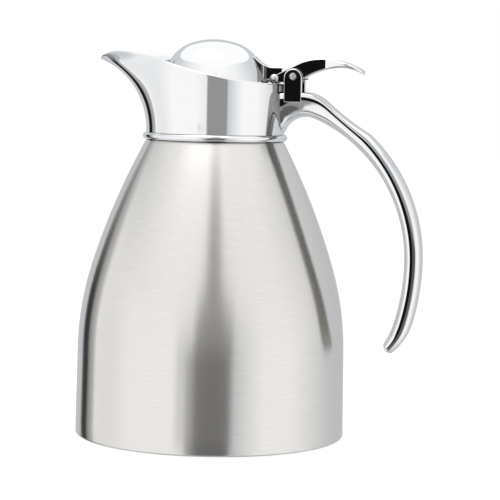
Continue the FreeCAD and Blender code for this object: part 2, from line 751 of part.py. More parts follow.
# Collar: a beaded ring that runs up into the lip, with a floor round the mouth and a seat for the stopper
def build_collar():
    body = new_body("collar")
    turned(body, "beaded_ring", "Revolution", [
        ("0", "collar_low"),
        ("collar_radius", "collar_low", LEFT, "bead_radius"),
        ("collar_radius + bead_radius", "collar_low + bead_radius", LEFT, "bead_radius"),
        ("collar_radius", "bead_top"),
        ("collar_radius", "spout_start"),
        ("0", "spout_start"),
    ])
    lofted(body, "wall", "AdditiveLoft", WALL_LEVELS, "0 * collar_wall", True)
    lofted(body, "basin", "SubtractiveLoft", BASIN_LEVELS, "collar_wall", False)
    rim = sketch_on(body, "rim_line", "XZ_Plane")
    far_left = "-2 * spout_reach"
    far_right = "collar_radius + collar_wall"
    over = "spout_top + collar_wall"
    draw(rim, [
        (far_left, "lip_tip"),
        ("-spout_reach", "lip_tip", RIGHT, "lip_curve"),
        ("-rim_crest_reach", "rim_crest", RIGHT, "rim_curve"),
        ("-rim_turn_reach", "rim_turn", LEFT, "rim_sweep"),
        ("collar_radius", "rim_back"),
        (far_right, "rim_back"),
        (far_right, over),
        (far_left, over),
    ])
    pushed(body, "rim_cut", "Pocket", rim, "4 * collar_radius")
    grooves = ring_steps("rib_low", "collar_bore", "collar_bore + rib_depth", "rib_gap")
    turned(body, "bore", "Groove", [
        ("0", "collar_low - collar_wall"),
        ("collar_bore", "collar_low - collar_wall"),
        *grooves,
        ("collar_bore", "floor_low"),
        ("basin_hole", "floor_low"),
        ("basin_hole", "seat_top"),
        ("0", "seat_top"),
    ])
    turned(body, "seat", "Revolution", [
        ("basin_hole", "floor_low"),
        ("basin_hole + seat_width", "floor_low"),
        ("basin_hole + seat_width", "seat_top"),
        ("basin_hole", "seat_top"),
    ])
    lying = Rotation(Vector(0, 1, 0), 90)
    for side in ("-screw_spread", "screw_spread"):
        place = side.strip("-") + ("_far" if side[0] == "-" else "_near")
        sink = body.newObject("PartDesign::SubtractiveCone", f"sink_{place}")
        sink.Placement = Placement(Vector(), lying)
        sink.setExpression("Radius1", bound("screw_head_radius + screw_fit"))
        sink.setExpression("Radius2", bound("screw_radius + screw_fit"))
        sink.setExpression("Height", bound("screw_head_height"))
        sink.setExpression("Placement.Base.x", bound("screw_face"))
        room = body.newObject("PartDesign::SubtractiveCylinder", f"room_{place}")
        room.Placement = Placement(Vector(), lying)
        room.setExpression("Radius", bound("screw_head_radius + screw_fit"))
        room.setExpression("Height", bound("collar_wall"))
        room.setExpression("Placement.Base.x", bound("screw_face - collar_wall"))
        way = body.newObject("PartDesign::SubtractiveCylinder", f"way_{place}")
        way.Placement = Placement(Vector(), lying)
        way.setExpression("Radius", bound("screw_radius + screw_fit"))
        way.setExpression("Height", bound("4 * collar_wall"))
        way.setExpression("Placement.Base.x", bound("screw_face"))
        for cutter in (sink, room, way):
            cutter.setExpression("Placement.Base.y", bound(side))
            cutter.setExpression("Placement.Base.z", bound("screw_height"))
    return body


# Handle: an arched root against the collar, a curved arm with a thumb scoop, and two hinge ears
def build_handle():
    body = new_body("handle")
    arm = sketch_on(body, "arm_outline", "XZ_Plane")
    draw(arm, [
        ("root_reach", "arch_low"),
        ("arch_start", "arch_low", RIGHT, "arch_curve"),
        ("upper_middle + upper_inner * cos(arch_turn)", "grip_level + upper_inner * sin(arch_turn)",
         RIGHT, "upper_inner"),
        ("handle_reach - handle_depth", "grip_level", RIGHT, "lower_inner"),
        ("tip_start_reach", "tip_start_height", RIGHT, "tip_inner_curve"),
        ("tip_in_reach", "tip_in_height", LEFT, "tip_round"),
        ("tip_end_reach", "tip_end_height", LEFT, "tip_curve"),
        ("tip_outer_reach", "tip_outer_height", LEFT, "lower_curve"),
        ("handle_reach", "grip_level", LEFT, "upper_curve"),
        ("scoop_start_reach", "scoop_start_height", LEFT, "bump_curve"),
        ("scoop_end_reach", "scoop_end_height", RIGHT, "scoop_curve"),
        ("knuckle_reach", "knuckle_height", LEFT, "knuckle_curve"),
        ("ear_back", "root_top"),
        ("root_reach", "root_top"),
    ])
    arm_block = pushed(body, "arm", "Pad", arm, "handle_width")
    half = number("handle_width / 2")
    toe = number("arch_start + arch_toe")
    rounded(body, "soft_arm", arm_block, "handle_round",
            lambda edge: on_side_face(edge, half) and edge.BoundBox.XMax > toe)
    ear = sketch_on(body, "ear_outline", "XZ_Plane")
    draw(ear, [
        ("ear_front", "ear_low"),
        ("ear_back", "ear_low"),
        ("ear_back", "ear_middle", LEFT, "ear_half"),
        ("pivot_reach", "ear_top", LEFT, "ear_half"),
        ("ear_front", "ear_middle"),
    ])
    pushed(body, "ears", "Pad", ear, "handle_width")
    slot = sketch_on(body, "slot_outline", "XZ_Plane")
    draw(slot, [
        ("ear_front - ear_half", "root_top"),
        ("ear_back + ear_half", "root_top"),
        ("ear_back + ear_half", "ear_top + ear_half"),
        ("ear_front - ear_half", "ear_top + ear_half"),
    ])
    pushed(body, "slot", "Pocket", slot, "slot_width")
    hug = sketch_on(body, "collar_circle", "XY_Plane", "arch_low - collar_wall")
    draw_circle(hug, "0", "0", "collar_radius + handle_fit")
    pushed(body, "collar_seat", "Pocket", hug, "2 * (root_top - arch_low)", symmetric=False, reverse=True)
    bore = sketch_on(body, "bore_circle", "XZ_Plane")
    draw_circle(bore, "pivot_reach", "pivot_level", "barrel_radius + barrel_fit")
    pushed(body, "bore", "Pocket", bore, "2 * handle_width")
    far = sketch_on(body, "far_head_circle", "XZ_Plane", "-handle_width / 2")
    draw_circle(far, "pivot_reach", "pivot_level", "barrel_head_radius + head_fit")
    pushed(body, "far_head", "Pocket", far, "head_depth", symmetric=False, reverse=True)
    pilots = sketch_on(body, "pilot_circles", "YZ_Plane")
    draw_circle(pilots, "screw_spread", "screw_height", "screw_radius + screw_fit")
    draw_circle(pilots, "-screw_spread", "screw_height", "screw_radius + screw_fit")
    pushed(body, "pilots", "Pocket", pilots, "screw_face + screw_length + 4 * screw_fit",
           symmetric=False, reverse=True)
    return body


# Handle screws: two countersunk screws from inside the collar
def build_handle_screws():
    body = new_body("handle_screws", "screw_face", "-screw_spread", "screw_height")
    screw = turned(body, "screw", "Revolution", [
        ("0", "0"),
        ("0", "screw_head_radius"),
        ("screw_head_height", "screw_radius"),
        ("screw_length", "screw_radius"),
        ("screw_length", "0"),
    ], role="XY_Plane", axis="H_Axis")
    pair = body.newObject("PartDesign::LinearPattern", "pair")
    pair.Originals = [screw]
    side_axis = next(feature for feature in body.Origin.OriginFeatures if feature.Role == "Y_Axis")
    pair.Direction = (side_axis, [""])
    pair.setExpression("Length", bound("2 * screw_spread"))
    pair.Occurrences = 2
    body.Tip = pair
    return body


# Hinge barrel: a headed sleeve across both ears, which the lid turns on
def build_hinge_barrel():
    body = new_body("hinge_barrel", "pivot_reach", "0", "pivot_level")
    turned(body, "sleeve", "Revolution", [
        ("barrel_bore", "-handle_width / 2 + head_depth"),
        ("barrel_radius", "-handle_width / 2 + head_depth"),
        ("barrel_radius", "handle_width / 2 - head_depth"),
        ("barrel_head_radius", "handle_width / 2 - head_depth"),
        ("barrel_head_radius", "handle_width / 2 - head_sink"),
        ("barrel_bore", "handle_width / 2 - head_sink"),
    ], role="XY_Plane")
    return body


# Hinge screw: screwed into the barrel, its head sunk in the near ear's bore
def build_hinge_screw():
    body = new_body("hinge_screw", "pivot_reach", "-handle_width / 2", "pivot_level")
    turned(body, "screw", "Revolution", [
        ("0", "head_sink + hinge_screw_drive_depth"),
        ("hinge_screw_drive", "head_sink + hinge_screw_drive_depth"),
        ("hinge_screw_drive", "head_sink"),
        ("hinge_screw_head", "head_sink"),
        ("hinge_screw_head", "head_depth"),
        ("hinge_screw_radius", "head_depth"),
        ("hinge_screw_radius", "head_depth + hinge_screw_length"),
        ("0", "head_depth + hinge_screw_length"),
    ], role="XY_Plane")
    return body


# Lid dome: a bell-shaped cover with a boss under its crown and a tail that runs back to the pivot
def build_lid_dome():
    body = new_body("lid_dome", "lid_shift")
    turned(body, "bell", "Revolution", [
        ("0", "dome_foot"),
        ("dome_radius", "dome_foot"),
        ("flank_radius", "flank_height", LEFT, "dome_shoulder_curve"),
        ("crown_radius", "crown_height", LEFT, "crown_curve"),
        ("0", "dome_crest"),
    ])
    tail = sketch_on(body, "tail_outline", "XZ_Plane")
    pivot = "pivot_reach - lid_shift"
    draw(tail, [
        ("tail_root_reach - lid_shift - tail_sink", "tail_low"),
        ("eye_meet - lid_shift", "tail_low", LEFT, "eye_radius"),
        (f"{pivot} + eye_radius", "pivot_level", LEFT, "eye_radius"),
        (pivot, "tail_top"),
        ("tail_blend_reach - lid_shift", "tail_top", RIGHT, "tail_blend_curve"),
        ("tail_root_reach - lid_shift", "tail_top + tail_root_rise"),
        ("tail_root_reach - lid_shift - tail_sink", "tail_top + tail_root_rise"),
    ])
    pushed(body, "tail", "Pad", tail, "tail_width")
    flank_in = "dome_wall / sin(flank_lean)"
    turned(body, "hollow", "Groove", [
        ("0", "dome_foot - dome_wall"),
        (f"dome_radius - {flank_in} + dome_wall / tan(flank_lean)", "dome_foot - dome_wall"),
        ("flank_radius - dome_wall * sin(flank_lean)", "flank_height - dome_wall * cos(flank_lean)",
         LEFT, "dome_shoulder_curve - dome_wall"),
        ("crown_radius - dome_wall * sin(crown_lean)", "crown_height - dome_wall * cos(crown_lean)",
         LEFT, "crown_curve - dome_wall"),
        ("boss_radius", "boss_top"),
        ("boss_radius", "boss_low"),
        ("lid_screw_radius + lid_screw_fit", "boss_low"),
        ("lid_screw_radius + lid_screw_fit", "boss_low + pilot_depth"),
        ("0", "boss_low + pilot_depth"),
    ])
    bore = sketch_on(body, "eye_circle", "XZ_Plane")
    draw_circle(bore, pivot, "pivot_level", "barrel_radius + barrel_fit")
    pushed(body, "eye", "Pocket", bore, "2 * tail_width")
    room = sketch_on(body, "spring_circle", "XZ_Plane", "spring_clearance")
    draw_circle(room, pivot, "pivot_level", "eye_radius + spring_clearance")
    pushed(body, "spring_recess", "Pocket", room, "tail_width", symmetric=False)
    hole = sketch_on(body, "rivet_circle", "XZ_Plane")
    draw_circle(hole, "nose_reach - lid_shift", "nose_height", "rivet_radius + rivet_fit")
    pushed(body, "rivet_hole", "Pocket", hole, "2 * tail_width")
    return body


# Thumb lever: a fork round the tail, a hub on the barrel and a leaf for the thumb
def build_thumb_lever():
    body = new_body("thumb_lever")
    side = sketch_on(body, "side_outline", "XZ_Plane")
    draw(side, [
        ("nose_reach", "tail_low"),
        ("eye_meet", "tail_low", LEFT, "eye_radius"),
        ("heel_reach", "heel_height", RIGHT, "lever_arch_curve"),
        ("lever_arch_reach", "lever_arch", RIGHT, "toe_curve"),
        ("lever_tip_reach - lever_tip_depth / 2", "lever_tip - lever_tip_depth"),
        ("lever_tip_reach", "lever_tip", LEFT, "lever_curve"),
        ("lever_top_reach", "lever_top", LEFT, "lever_neck_curve"),
        ("lever_neck_reach", "lever_neck_height"),
        ("nose_reach - nose_radius * sin(diagonal_lean)", "nose_height + nose_radius * cos(diagonal_lean)",
         LEFT, "nose_radius"),
        ("nose_reach - nose_radius", "nose_height", LEFT, "nose_radius"),
    ])
    pushed(body, "blank", "Pad", side, "4 * leaf_half")
    plan = sketch_on(body, "leaf_outline", "XY_Plane", "tail_low - eye_radius")
    outside = "3 * leaf_half"
    beyond = "lever_tip_reach + leaf_half"
    behind = "nose_reach - leaf_half"
    for sign, turn, back in (("", RIGHT, LEFT), ("-", LEFT, RIGHT)):
        draw(plan, [
            (behind, f"{sign}fork_half"),
            ("leaf_start", f"{sign}fork_half"),
            ("leaf_reach", f"{sign}leaf_half", turn, "lever_tip_reach - leaf_reach + leaf_half / 4"),
            ("lever_tip_reach", f"{sign}lever_tip_depth"),
            (beyond, f"{sign}lever_tip_depth"),
            (beyond, f"{sign}({outside})"),
            (behind, f"{sign}({outside})"),
        ])
    pushed(body, "leaf", "Pocket", plan, "lever_top - tail_low + 4 * eye_radius",
           symmetric=False, reverse=True)
    fork = sketch_on(body, "fork_outline", "XZ_Plane")
    fork_end = "pivot_reach + eye_radius + lever_gap"
    draw(fork, [
        (behind, "tail_low - 2 * eye_radius"),
        (fork_end, "tail_low - 2 * eye_radius"),
        (fork_end, "lever_top + eye_radius"),
        (behind, "lever_top + eye_radius"),
    ])
    pushed(body, "fork", "Pocket", fork, "2 * fork_slot")
    bore = sketch_on(body, "hub_circle", "XZ_Plane")
    draw_circle(bore, "pivot_reach", "pivot_level", "barrel_radius + barrel_fit")
    pushed(body, "hub_bore", "Pocket", bore, "4 * leaf_half")
    hole = sketch_on(body, "rivet_circle", "XZ_Plane")
    draw_circle(hole, "nose_reach", "nose_height", "rivet_radius + rivet_fit")
    pushed(body, "rivet_hole", "Pocket", hole, "4 * leaf_half")
    return body


# Lever rivet: ties the fork to the tail, with a button head on each side
def build_lever_rivet():
    body = new_body("lever_rivet", "nose_reach", "0", "nose_height")
    crown = "(rivet_head_radius^2 + rivet_head_height^2) / (2 * rivet_head_height)"
    turned(body, "button_rivet", "Revolution", [
        ("0", "-fork_half - rivet_head_height", LEFT, crown),
        ("rivet_head_radius", "-fork_half"),
        ("rivet_radius", "-fork_half"),
        ("rivet_radius", "fork_half"),
        ("rivet_head_radius", "fork_half", LEFT, crown),
        ("0", "fork_half + rivet_head_height"),
    ], role="XY_Plane")
    return body


# Stopper plate: closes the dome from below, with a hub that meets the boss
def build_stopper_plate():
    body = new_body("stopper_plate", "lid_shift")
    turned(body, "plate", "Revolution", [
        ("lid_screw_radius + lid_screw_fit", "plate_under"),
        ("dome_radius", "plate_under"),
        ("dome_radius", "dome_foot"),
        ("stopper_hub", "dome_foot"),
        ("stopper_hub", "boss_low"),
        ("lid_screw_radius + lid_screw_fit", "boss_low"),
    ])
    return body


# Lid screw: through the plate into the dome's boss
def build_lid_screw():
    body = new_body("lid_screw", "lid_shift")
    turned(body, "screw", "Revolution", [
        ("0", "plate_under - lid_screw_head_height"),
        ("lid_screw_head", "plate_under - lid_screw_head_height"),
        ("lid_screw_head", "plate_under"),
        ("lid_screw_radius", "plate_under"),
        ("lid_screw_radius", "boss_low + pilot_depth - lid_screw_radius"),
        ("0", "boss_low + pilot_depth - lid_screw_radius"),
    ])
    return body


# Stopper cup: a tapered plug that hangs in the mouth
def build_stopper_cup():
    body = new_body("stopper_cup", "lid_shift")
    turned(body, "cup", "Revolution", [
        ("0", "cup_low"),
        ("cup_low_radius - cup_edge", "cup_low", LEFT, "cup_edge"),
        ("cup_low_radius", "cup_low + cup_edge"),
        ("cup_top_radius", "plate_under"),
        ("cup_top_radius - cup_wall", "plate_under"),
        ("cup_low_radius - cup_wall", "cup_low + cup_edge"),
        ("cup_low_radius - cup_wall", "core_low"),
        ("0", "core_low"),
    ])
    return body


# Stopper core: foam that fills the cup below the screw's head
def build_stopper_core():
    body = new_body("stopper_core", "lid_shift")
    turned(body, "foam", "Revolution", [
        ("0", "core_low"),
        ("core_low_radius", "core_low"),
        ("core_low_radius", "cup_low + cup_edge"),
        ("core_top_radius", "core_top"),
        ("0", "core_top"),
    ])
    return body


# Stopper gasket: a ring round the cup with a lip above the collar's seat
def build_stopper_gasket():
    body = new_body("stopper_gasket", "lid_shift")
    turned(body, "lipped_ring", "Revolution", [
        ("seal_inner", "plate_under - seal_flange"),
        ("seal_lip_inner", "plate_under - seal_flange"),
        ("seal_lip_inner", "seal_low"),
        ("seal_lip_inner + seal_lip_width", "seal_low"),
        ("seal_outer", "plate_under"),
        ("seal_inner", "plate_under"),
    ])
    return body


def arc_from_tangent(start, heading, finish):
    """The arc that leaves a point along a heading and ends at another point."""
    chord = finish - start
    half = chord.Length / 2
    along = chord.dot(heading) / chord.Length
    lean = math.acos(max(-1, min(1, along)))
    bulge = (heading * chord.Length - chord * along)
    bulge = bulge.normalize() * (half * math.tan(lean / 2))
    return Part.Arc(start, (start + finish) / 2 + bulge, finish)


def biarc(start, start_heading, finish, finish_heading):
    """Two arcs that join two points with a heading at each, and run into each other without a corner."""
    way = finish - start
    total = start_heading + finish_heading
    spread = 2 * (1 - start_heading.dot(finish_heading))
    reach = (-way.dot(total) + math.sqrt(way.dot(total) ** 2 + spread * way.dot(way))) / spread
    joint = (start + finish + (start_heading - finish_heading) * reach) / 2
    first = arc_from_tangent(start, start_heading, joint)
    second = arc_from_tangent(finish, finish_heading * -1, joint)
    return [first.toShape(), Part.Arc(joint, second.value((second.FirstParameter + second.LastParameter) / 2),
                                      finish).toShape()]


def least_gap(path, wire, apart):
    """The least gap between stretches of a wire that lie further apart along it than a given length."""
    step = wire / 4
    points = path.discretize(Distance=step)
    skip = math.ceil(apart / step)
    distances = []
    for index, point in enumerate(points):
        distances += [point.distanceToPoint(other) for other in points[index + skip:]]
    return min(distances) - wire


# Hinge spring: coils round the barrel, one leg under the lever's heel and one on the handle's root
def build_hinge_spring():
    radius = number("spring_radius")
    pitch = number("spring_pitch")
    wire = number("spring_wire")
    middle = Vector(number("pivot_reach"), number("spring_start"), number("pivot_level"))
    first_turn = math.radians(number("spring_lever_turn") - 90)
    last_turn = math.radians(90 - number("spring_floor_turn")) - 2 * math.pi * SPRING_COILS
    slope = pitch / (2 * math.pi)

    def coil_point(turn):
        rise = (first_turn - turn) * slope
        return middle + Vector(radius * math.cos(turn), rise, radius * math.sin(turn))

    def coil_heading(turn):
        return Vector(radius * math.sin(turn), slope, -radius * math.cos(turn)).normalize()

    quarters = math.ceil((first_turn - last_turn) / (math.pi / 2))
    step = (last_turn - first_turn) / quarters
    turns = [first_turn + step * index for index in range(quarters + 1)]
    leg_start = coil_point(first_turn) - coil_heading(first_turn) * number("spring_lever_leg")
    edges = [Part.LineSegment(leg_start, coil_point(first_turn)).toShape()]
    for start, finish in zip(turns, turns[1:]):
        edges += biarc(coil_point(start), coil_heading(start), coil_point(finish), coil_heading(finish))
    heading = coil_heading(last_turn)
    floor = number("root_top + spring_floor_gap + spring_wire / 2")
    drop = (coil_point(last_turn).z - floor) / -heading.z
    edges.append(Part.LineSegment(coil_point(last_turn), coil_point(last_turn) + heading * drop).toShape())
    path = Part.Wire(edges)
    section = Part.Wire(Part.Circle(leg_start, coil_heading(first_turn), wire / 2).toShape())
    spring = doc.addObject("Part::Feature", "hinge_spring")
    spring.Label = "hinge_spring"
    spring.Shape = path.makePipeShell([section], True, False)
    spring.Placement = Placement()
    print("hinge_spring least gap to itself", round(least_gap(path, wire, math.pi * radius), 3))
    return spring


PIECES = [
    build_outer_shell(),
    build_base_plate(),
    build_vacuum_seal(),
    build_getter(),
    build_base_pad(),
    build_inner_flask(),
    build_flask_bottom(),
    build_mouth_gasket(),
    build_neck_ring(),
    build_collar(),
    build_handle(),
    build_handle_screws(),
    build_hinge_barrel(),
    build_hinge_screw(),
    build_hinge_spring(),
    build_lid_dome(),
    build_thumb_lever(),
    build_lever_rivet(),
    build_stopper_plate(),
    build_stopper_cup(),
    build_stopper_core(),
    build_stopper_gasket(),
    build_lid_screw(),
]
doc.recompute()


def check_document():
    """Stop if a feature failed, a piece is empty or broken, or a cut took nothing away."""
    for item in doc.Objects:
        if "Invalid" in item.State or "Error" in item.State:
            raise RuntimeError(f"{item.Label} failed: {item.State}")
        cuts = ("Pocket", "Groove", "SubtractiveLoft", "SubtractiveCone", "SubtractiveCylinder")
        if item.TypeId.split("::")[1] in cuts and item.Shape.Volume >= item.BaseFeature.Shape.Volume:
            raise RuntimeError(f"{item.Label} cuts nothing")
    for piece in PIECES:
        if piece.Shape.isNull() or not piece.Shape.isValid():
            raise RuntimeError(f"{piece.Label} is empty or broken")


check_document()
os.makedirs("parts", exist_ok=True)
for piece in PIECES:
    piece.Shape.exportStep(f"parts/{piece.Label}.step")
    print(piece.Label, "solids", len(piece.Shape.Solids), "volume", round(piece.Shape.Volume, 2))
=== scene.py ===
"""Looks of an insulated coffee server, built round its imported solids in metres."""

import json
import logging
import math
from collections.abc import Callable, Iterator
from contextlib import contextmanager
from dataclasses import dataclass
from enum import Enum

import bmesh
import bpy
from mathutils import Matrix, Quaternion, Vector


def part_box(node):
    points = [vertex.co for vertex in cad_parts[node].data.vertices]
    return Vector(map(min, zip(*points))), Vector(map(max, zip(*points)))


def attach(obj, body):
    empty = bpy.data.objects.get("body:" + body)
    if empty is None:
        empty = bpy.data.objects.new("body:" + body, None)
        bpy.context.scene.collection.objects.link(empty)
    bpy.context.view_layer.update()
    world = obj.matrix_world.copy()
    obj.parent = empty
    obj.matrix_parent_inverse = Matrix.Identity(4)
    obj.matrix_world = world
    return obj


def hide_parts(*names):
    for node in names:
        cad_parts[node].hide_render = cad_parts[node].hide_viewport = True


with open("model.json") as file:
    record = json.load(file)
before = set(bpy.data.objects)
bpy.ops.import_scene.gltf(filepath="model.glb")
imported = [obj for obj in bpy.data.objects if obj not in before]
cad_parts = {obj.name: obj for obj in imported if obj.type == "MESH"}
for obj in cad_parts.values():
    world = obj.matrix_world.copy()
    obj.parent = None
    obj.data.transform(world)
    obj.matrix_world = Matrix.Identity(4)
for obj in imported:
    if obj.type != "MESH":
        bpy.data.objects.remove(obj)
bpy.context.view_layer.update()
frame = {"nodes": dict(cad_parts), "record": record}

LOG = logging.getLogger("coffee_server")

Point = tuple[float, float]
Points = tuple[Point, ...]
Profile = list[Point]
Span = tuple[float, float]
Place = tuple[float, float, float]
Loop = list[Place]
Tone = tuple[float, float, float]
Piece = bpy.types.Object
Socket = bpy.types.NodeSocket

MM = 0.001
# Lean of the cast side faces, as a share of their height.
DRAFT = 0.036
# Points closer than this are one point, in metres.
MERGE_GAP = 0.00001
# Edges of plates and bars bent more than this many degrees are shaded sharp.
PLATE_SHARP = 35.0
# Edges of a plate bent more than this many degrees are rounded, in this many steps.
BEVEL_ANGLE = 50.0
BEVEL_STEPS = 3
# Steps round each edge of a bar.
BAR_STEPS = 5
# Panels brighter than PANEL_DARK turn blue, by shares of their lack of white in red, green and blue.
PANEL_DARK = 0.5
PANEL_COOLNESS = 0.05
PANEL_SHIFT = (-1.4, -0.3, 1.0)
# Turn that lays an upright primitive along Y.
ACROSS = (math.pi / 2, 0.0, 0.0)


class Body(Enum):
    """The rigid bodies that the pieces ride on."""

    POT = "pot"
    LID = "lid"


class Slot(Enum):
    """The record's material slots."""

    BRUSHED_STEEL = "brushed_steel"
    INNER_STEEL = "inner_steel"
    BRIGHT_CHROME = "bright_chrome"
    SCREW_STEEL = "screw_steel"
    SPRING_STEEL = "spring_steel"
    SOLDER = "solder"
    BLACK_PLASTIC = "black_plastic"
    BLACK_RUBBER = "black_rubber"
    SILICONE = "silicone"
    PALE_FOAM = "pale_foam"


class Turn(Enum):
    """The side of an arc's way on which its middle lies."""

    LEFT = 1
    RIGHT = -1


class Side(Enum):
    """The two sides of the hinge, as the sign of Y."""

    NEAR = -1
    FAR = 1


def arc(start: Point, finish: Point, radius: float, turn: Turn, steps: int) -> Profile:
    """Sample an arc under a half circle between two points.

    Args:
        start: First point in millimetres.
        finish: Last point in millimetres.
        radius: Radius in millimetres.
        turn: Side of the way on which the middle lies.
        steps: Number of stretches.

    Returns:
        The points from start to finish, both included.
    """
    first, last = Vector(start), Vector(finish)
    way = last - first
    rise = math.sqrt(max(radius ** 2 - (way.length / 2) ** 2, 0.0))
    across = Vector((-way.y, way.x)).normalized() * turn.value
    middle = (first + last) / 2 + across * rise
    bend = 2 * math.asin(min(1.0, way.length / (2 * radius))) * turn.value
    begin = math.atan2(first.y - middle.y, first.x - middle.x)
    return sweep((middle.x, middle.y), radius, math.degrees(begin), math.degrees(begin + bend), steps)


def polar(middle: Point, radius: float, degrees: float) -> Point:
    """A point at a radius and an angle about a middle."""
    turn = math.radians(degrees)
    return middle[0] + radius * math.cos(turn), middle[1] + radius * math.sin(turn)


def sweep(middle: Point, radius: float, first: float, last: float, steps: int) -> Profile:
    """Sample a circle between two angles.

    Args:
        middle: Middle of the circle.
        radius: Radius in millimetres.
        first: First angle in degrees.
        last: Last angle in degrees.
        steps: Number of stretches.

    Returns:
        The points, both ends included.
    """
    return [polar(middle, radius, first + (last - first) * step / steps) for step in range(steps + 1)]


def along(points: Profile, steps: int) -> Profile:
    """Spread points evenly by length along a line of points.

    Args:
        points: The line's points.
        steps: Number of even stretches.

    Returns:
        The evenly spread points, both ends included.
    """
    lengths = [0.0]
    for first, second in zip(points, points[1:]):
        lengths.append(lengths[-1] + math.dist(first, second))
    spread = []
    index = 0
    for step in range(steps + 1):
        goal = lengths[-1] * step / steps
        while index < len(points) - 2 and lengths[index + 1] < goal:
            index += 1
        span = lengths[index + 1] - lengths[index]
        share = (goal - lengths[index]) / span if span else 0.0
        first, second = points[index], points[index + 1]
        spread.append((first[0] + (second[0] - first[0]) * share, first[1] + (second[1] - first[1]) * share))
    return spread


def curve_radius(run: float, fall: float, lean: float = 0.0) -> float:
    """Radius of the arc that leaves at a lean and arrives after a run and a fall.

    Args:
        run: Level distance in millimetres.
        fall: Drop in millimetres.
        lean: Downward lean at the start in radians.

    Returns:
        The radius in millimetres.
    """
    return abs((run ** 2 + fall ** 2) / (2 * (run * math.sin(lean) - fall * math.cos(lean))))


def eased(share: float) -> float:
    """Smooth a share from 0 to 1, level at both ends."""
    share = min(max(share, 0.0), 1.0)
    return share * share * (3 - 2 * share)


def clear_selection() -> None:
    """Leave edit mode and deselect every object."""
    if bpy.context.mode != "OBJECT":
        bpy.ops.object.mode_set(mode="OBJECT")
    bpy.ops.object.select_all(action="DESELECT")


def pick(piece: Piece) -> None:
    """Make one object the only selected and active one.

    Args:
        piece: Object to pick.
    """
    clear_selection()
    piece.select_set(True)
    bpy.context.view_layer.objects.active = piece


@contextmanager
def editing(piece: Piece) -> Iterator[None]:
    """Hold a piece in edit mode, at first with all of its mesh selected.

    Args:
        piece: Object to edit.
    """
    pick(piece)
    bpy.ops.object.mode_set(mode="EDIT")
    bpy.ops.mesh.select_all(action="SELECT")
    yield
    bpy.ops.object.mode_set(mode="OBJECT")


def placed(name: str, data: bpy.types.ID) -> Piece:
    """Put a mesh, a camera or a lamp in the scene as an object.

    Args:
        name: Name of the object.
        data: What it shows.

    Returns:
        The new object.
    """
    piece = bpy.data.objects.new(name, data)
    bpy.context.scene.collection.objects.link(piece)
    return piece


def just_added(name: str) -> Piece:
    """Name the primitive that was just added and apply its place to its mesh.

    Args:
        name: Name of the piece.

    Returns:
        The primitive.
    """
    piece = bpy.context.active_object
    piece.name = name
    piece.data.name = name
    bpy.ops.object.transform_apply(location=True, rotation=True, scale=True)
    return piece


def apply_modifier(piece: Piece, kind: str, **settings: object) -> None:
    """Add a modifier with its settings and apply it.

    Args:
        piece: Object to change.
        kind: Modifier type.
        settings: Attribute values of the modifier.
    """
    pick(piece)
    modifier = piece.modifiers.new(kind.lower(), kind)
    for name, value in settings.items():
        setattr(modifier, name, value)
    bpy.ops.object.modifier_apply(modifier=modifier.name)


def smooth(piece: Piece, angle: float = 40.0) -> None:
    """Smooth the shading, but keep edges sharp that bend more than an angle in degrees."""
    pick(piece)
    bpy.ops.object.shade_smooth_by_angle(angle=math.radians(angle))


def tidy_faces(piece: Piece, angle: float = 40.0) -> None:
    """Merge doubles, turn the faces outwards and smooth the shading.

    Args:
        piece: Object to tidy.
        angle: Edges bent more than this many degrees stay sharp.
    """
    with editing(piece):
        bpy.ops.mesh.remove_doubles(threshold=MERGE_GAP)
        bpy.ops.mesh.normals_make_consistent(inside=False)
    smooth(piece, angle)


def flatten_shading(piece: Piece) -> None:
    """Shade broad faces flat and let only the rounded edges turn the light."""
    smooth(piece, PLATE_SHARP)
    apply_modifier(piece, "WEIGHTED_NORMAL", weight=50, keep_sharp=True)


def close_holes(piece: Piece) -> None:
    """Fill every open loop of a piece."""
    with editing(piece):
        bpy.ops.mesh.fill_holes(sides=0)


def cut_away(piece: Piece, cutter: Piece) -> None:
    """Take a cutter's form out of a piece and drop the cutter."""
    apply_modifier(piece, "BOOLEAN", operation="DIFFERENCE", object=cutter, solver="EXACT")
    bpy.data.objects.remove(cutter)


def turned(name: str, profile: Profile, segments: int, axis: float = 0.0) -> Piece:
    """Draw a ring up through a profile, as on a lathe, by extruding and scaling it.

    Args:
        name: Name of the piece.
        profile: Radius and height of each ring in millimetres.
        segments: Number of sides.
        axis: X of the upright axis in millimetres.

    Returns:
        The open skin as an object, with its last ring selected.
    """
    clear_selection()
    bpy.ops.mesh.primitive_circle_add(vertices=segments, radius=profile[0][0] * MM,
                                      location=(axis * MM, 0.0, profile[0][1] * MM))
    piece = just_added(name)
    with editing(piece):
        for (radius, height), (next_radius, next_height) in zip(profile, profile[1:]):
            lift = (0.0, 0.0, (next_height - height) * MM)
            bpy.ops.mesh.extrude_region_move(TRANSFORM_OT_translate={"value": lift})
            share = next_radius / radius
            middle = (axis * MM, 0.0, next_height * MM)
            bpy.ops.transform.resize(value=(share, share, 1.0), center_override=middle)
    return piece


def closed_turning(name: str, profile: Profile, segments: int, axis: float = 0.0) -> Piece:
    """Turn a profile that ends where it starts into a closed ring.

    Args:
        name: Name of the piece.
        profile: Radius and height of each ring in millimetres, without the first one repeated.
        segments: Number of sides.
        axis: X of the upright axis in millimetres.

    Returns:
        The closed ring.
    """
    piece = turned(name, [*profile, profile[0]], segments, axis)
    tidy_faces(piece)
    return piece


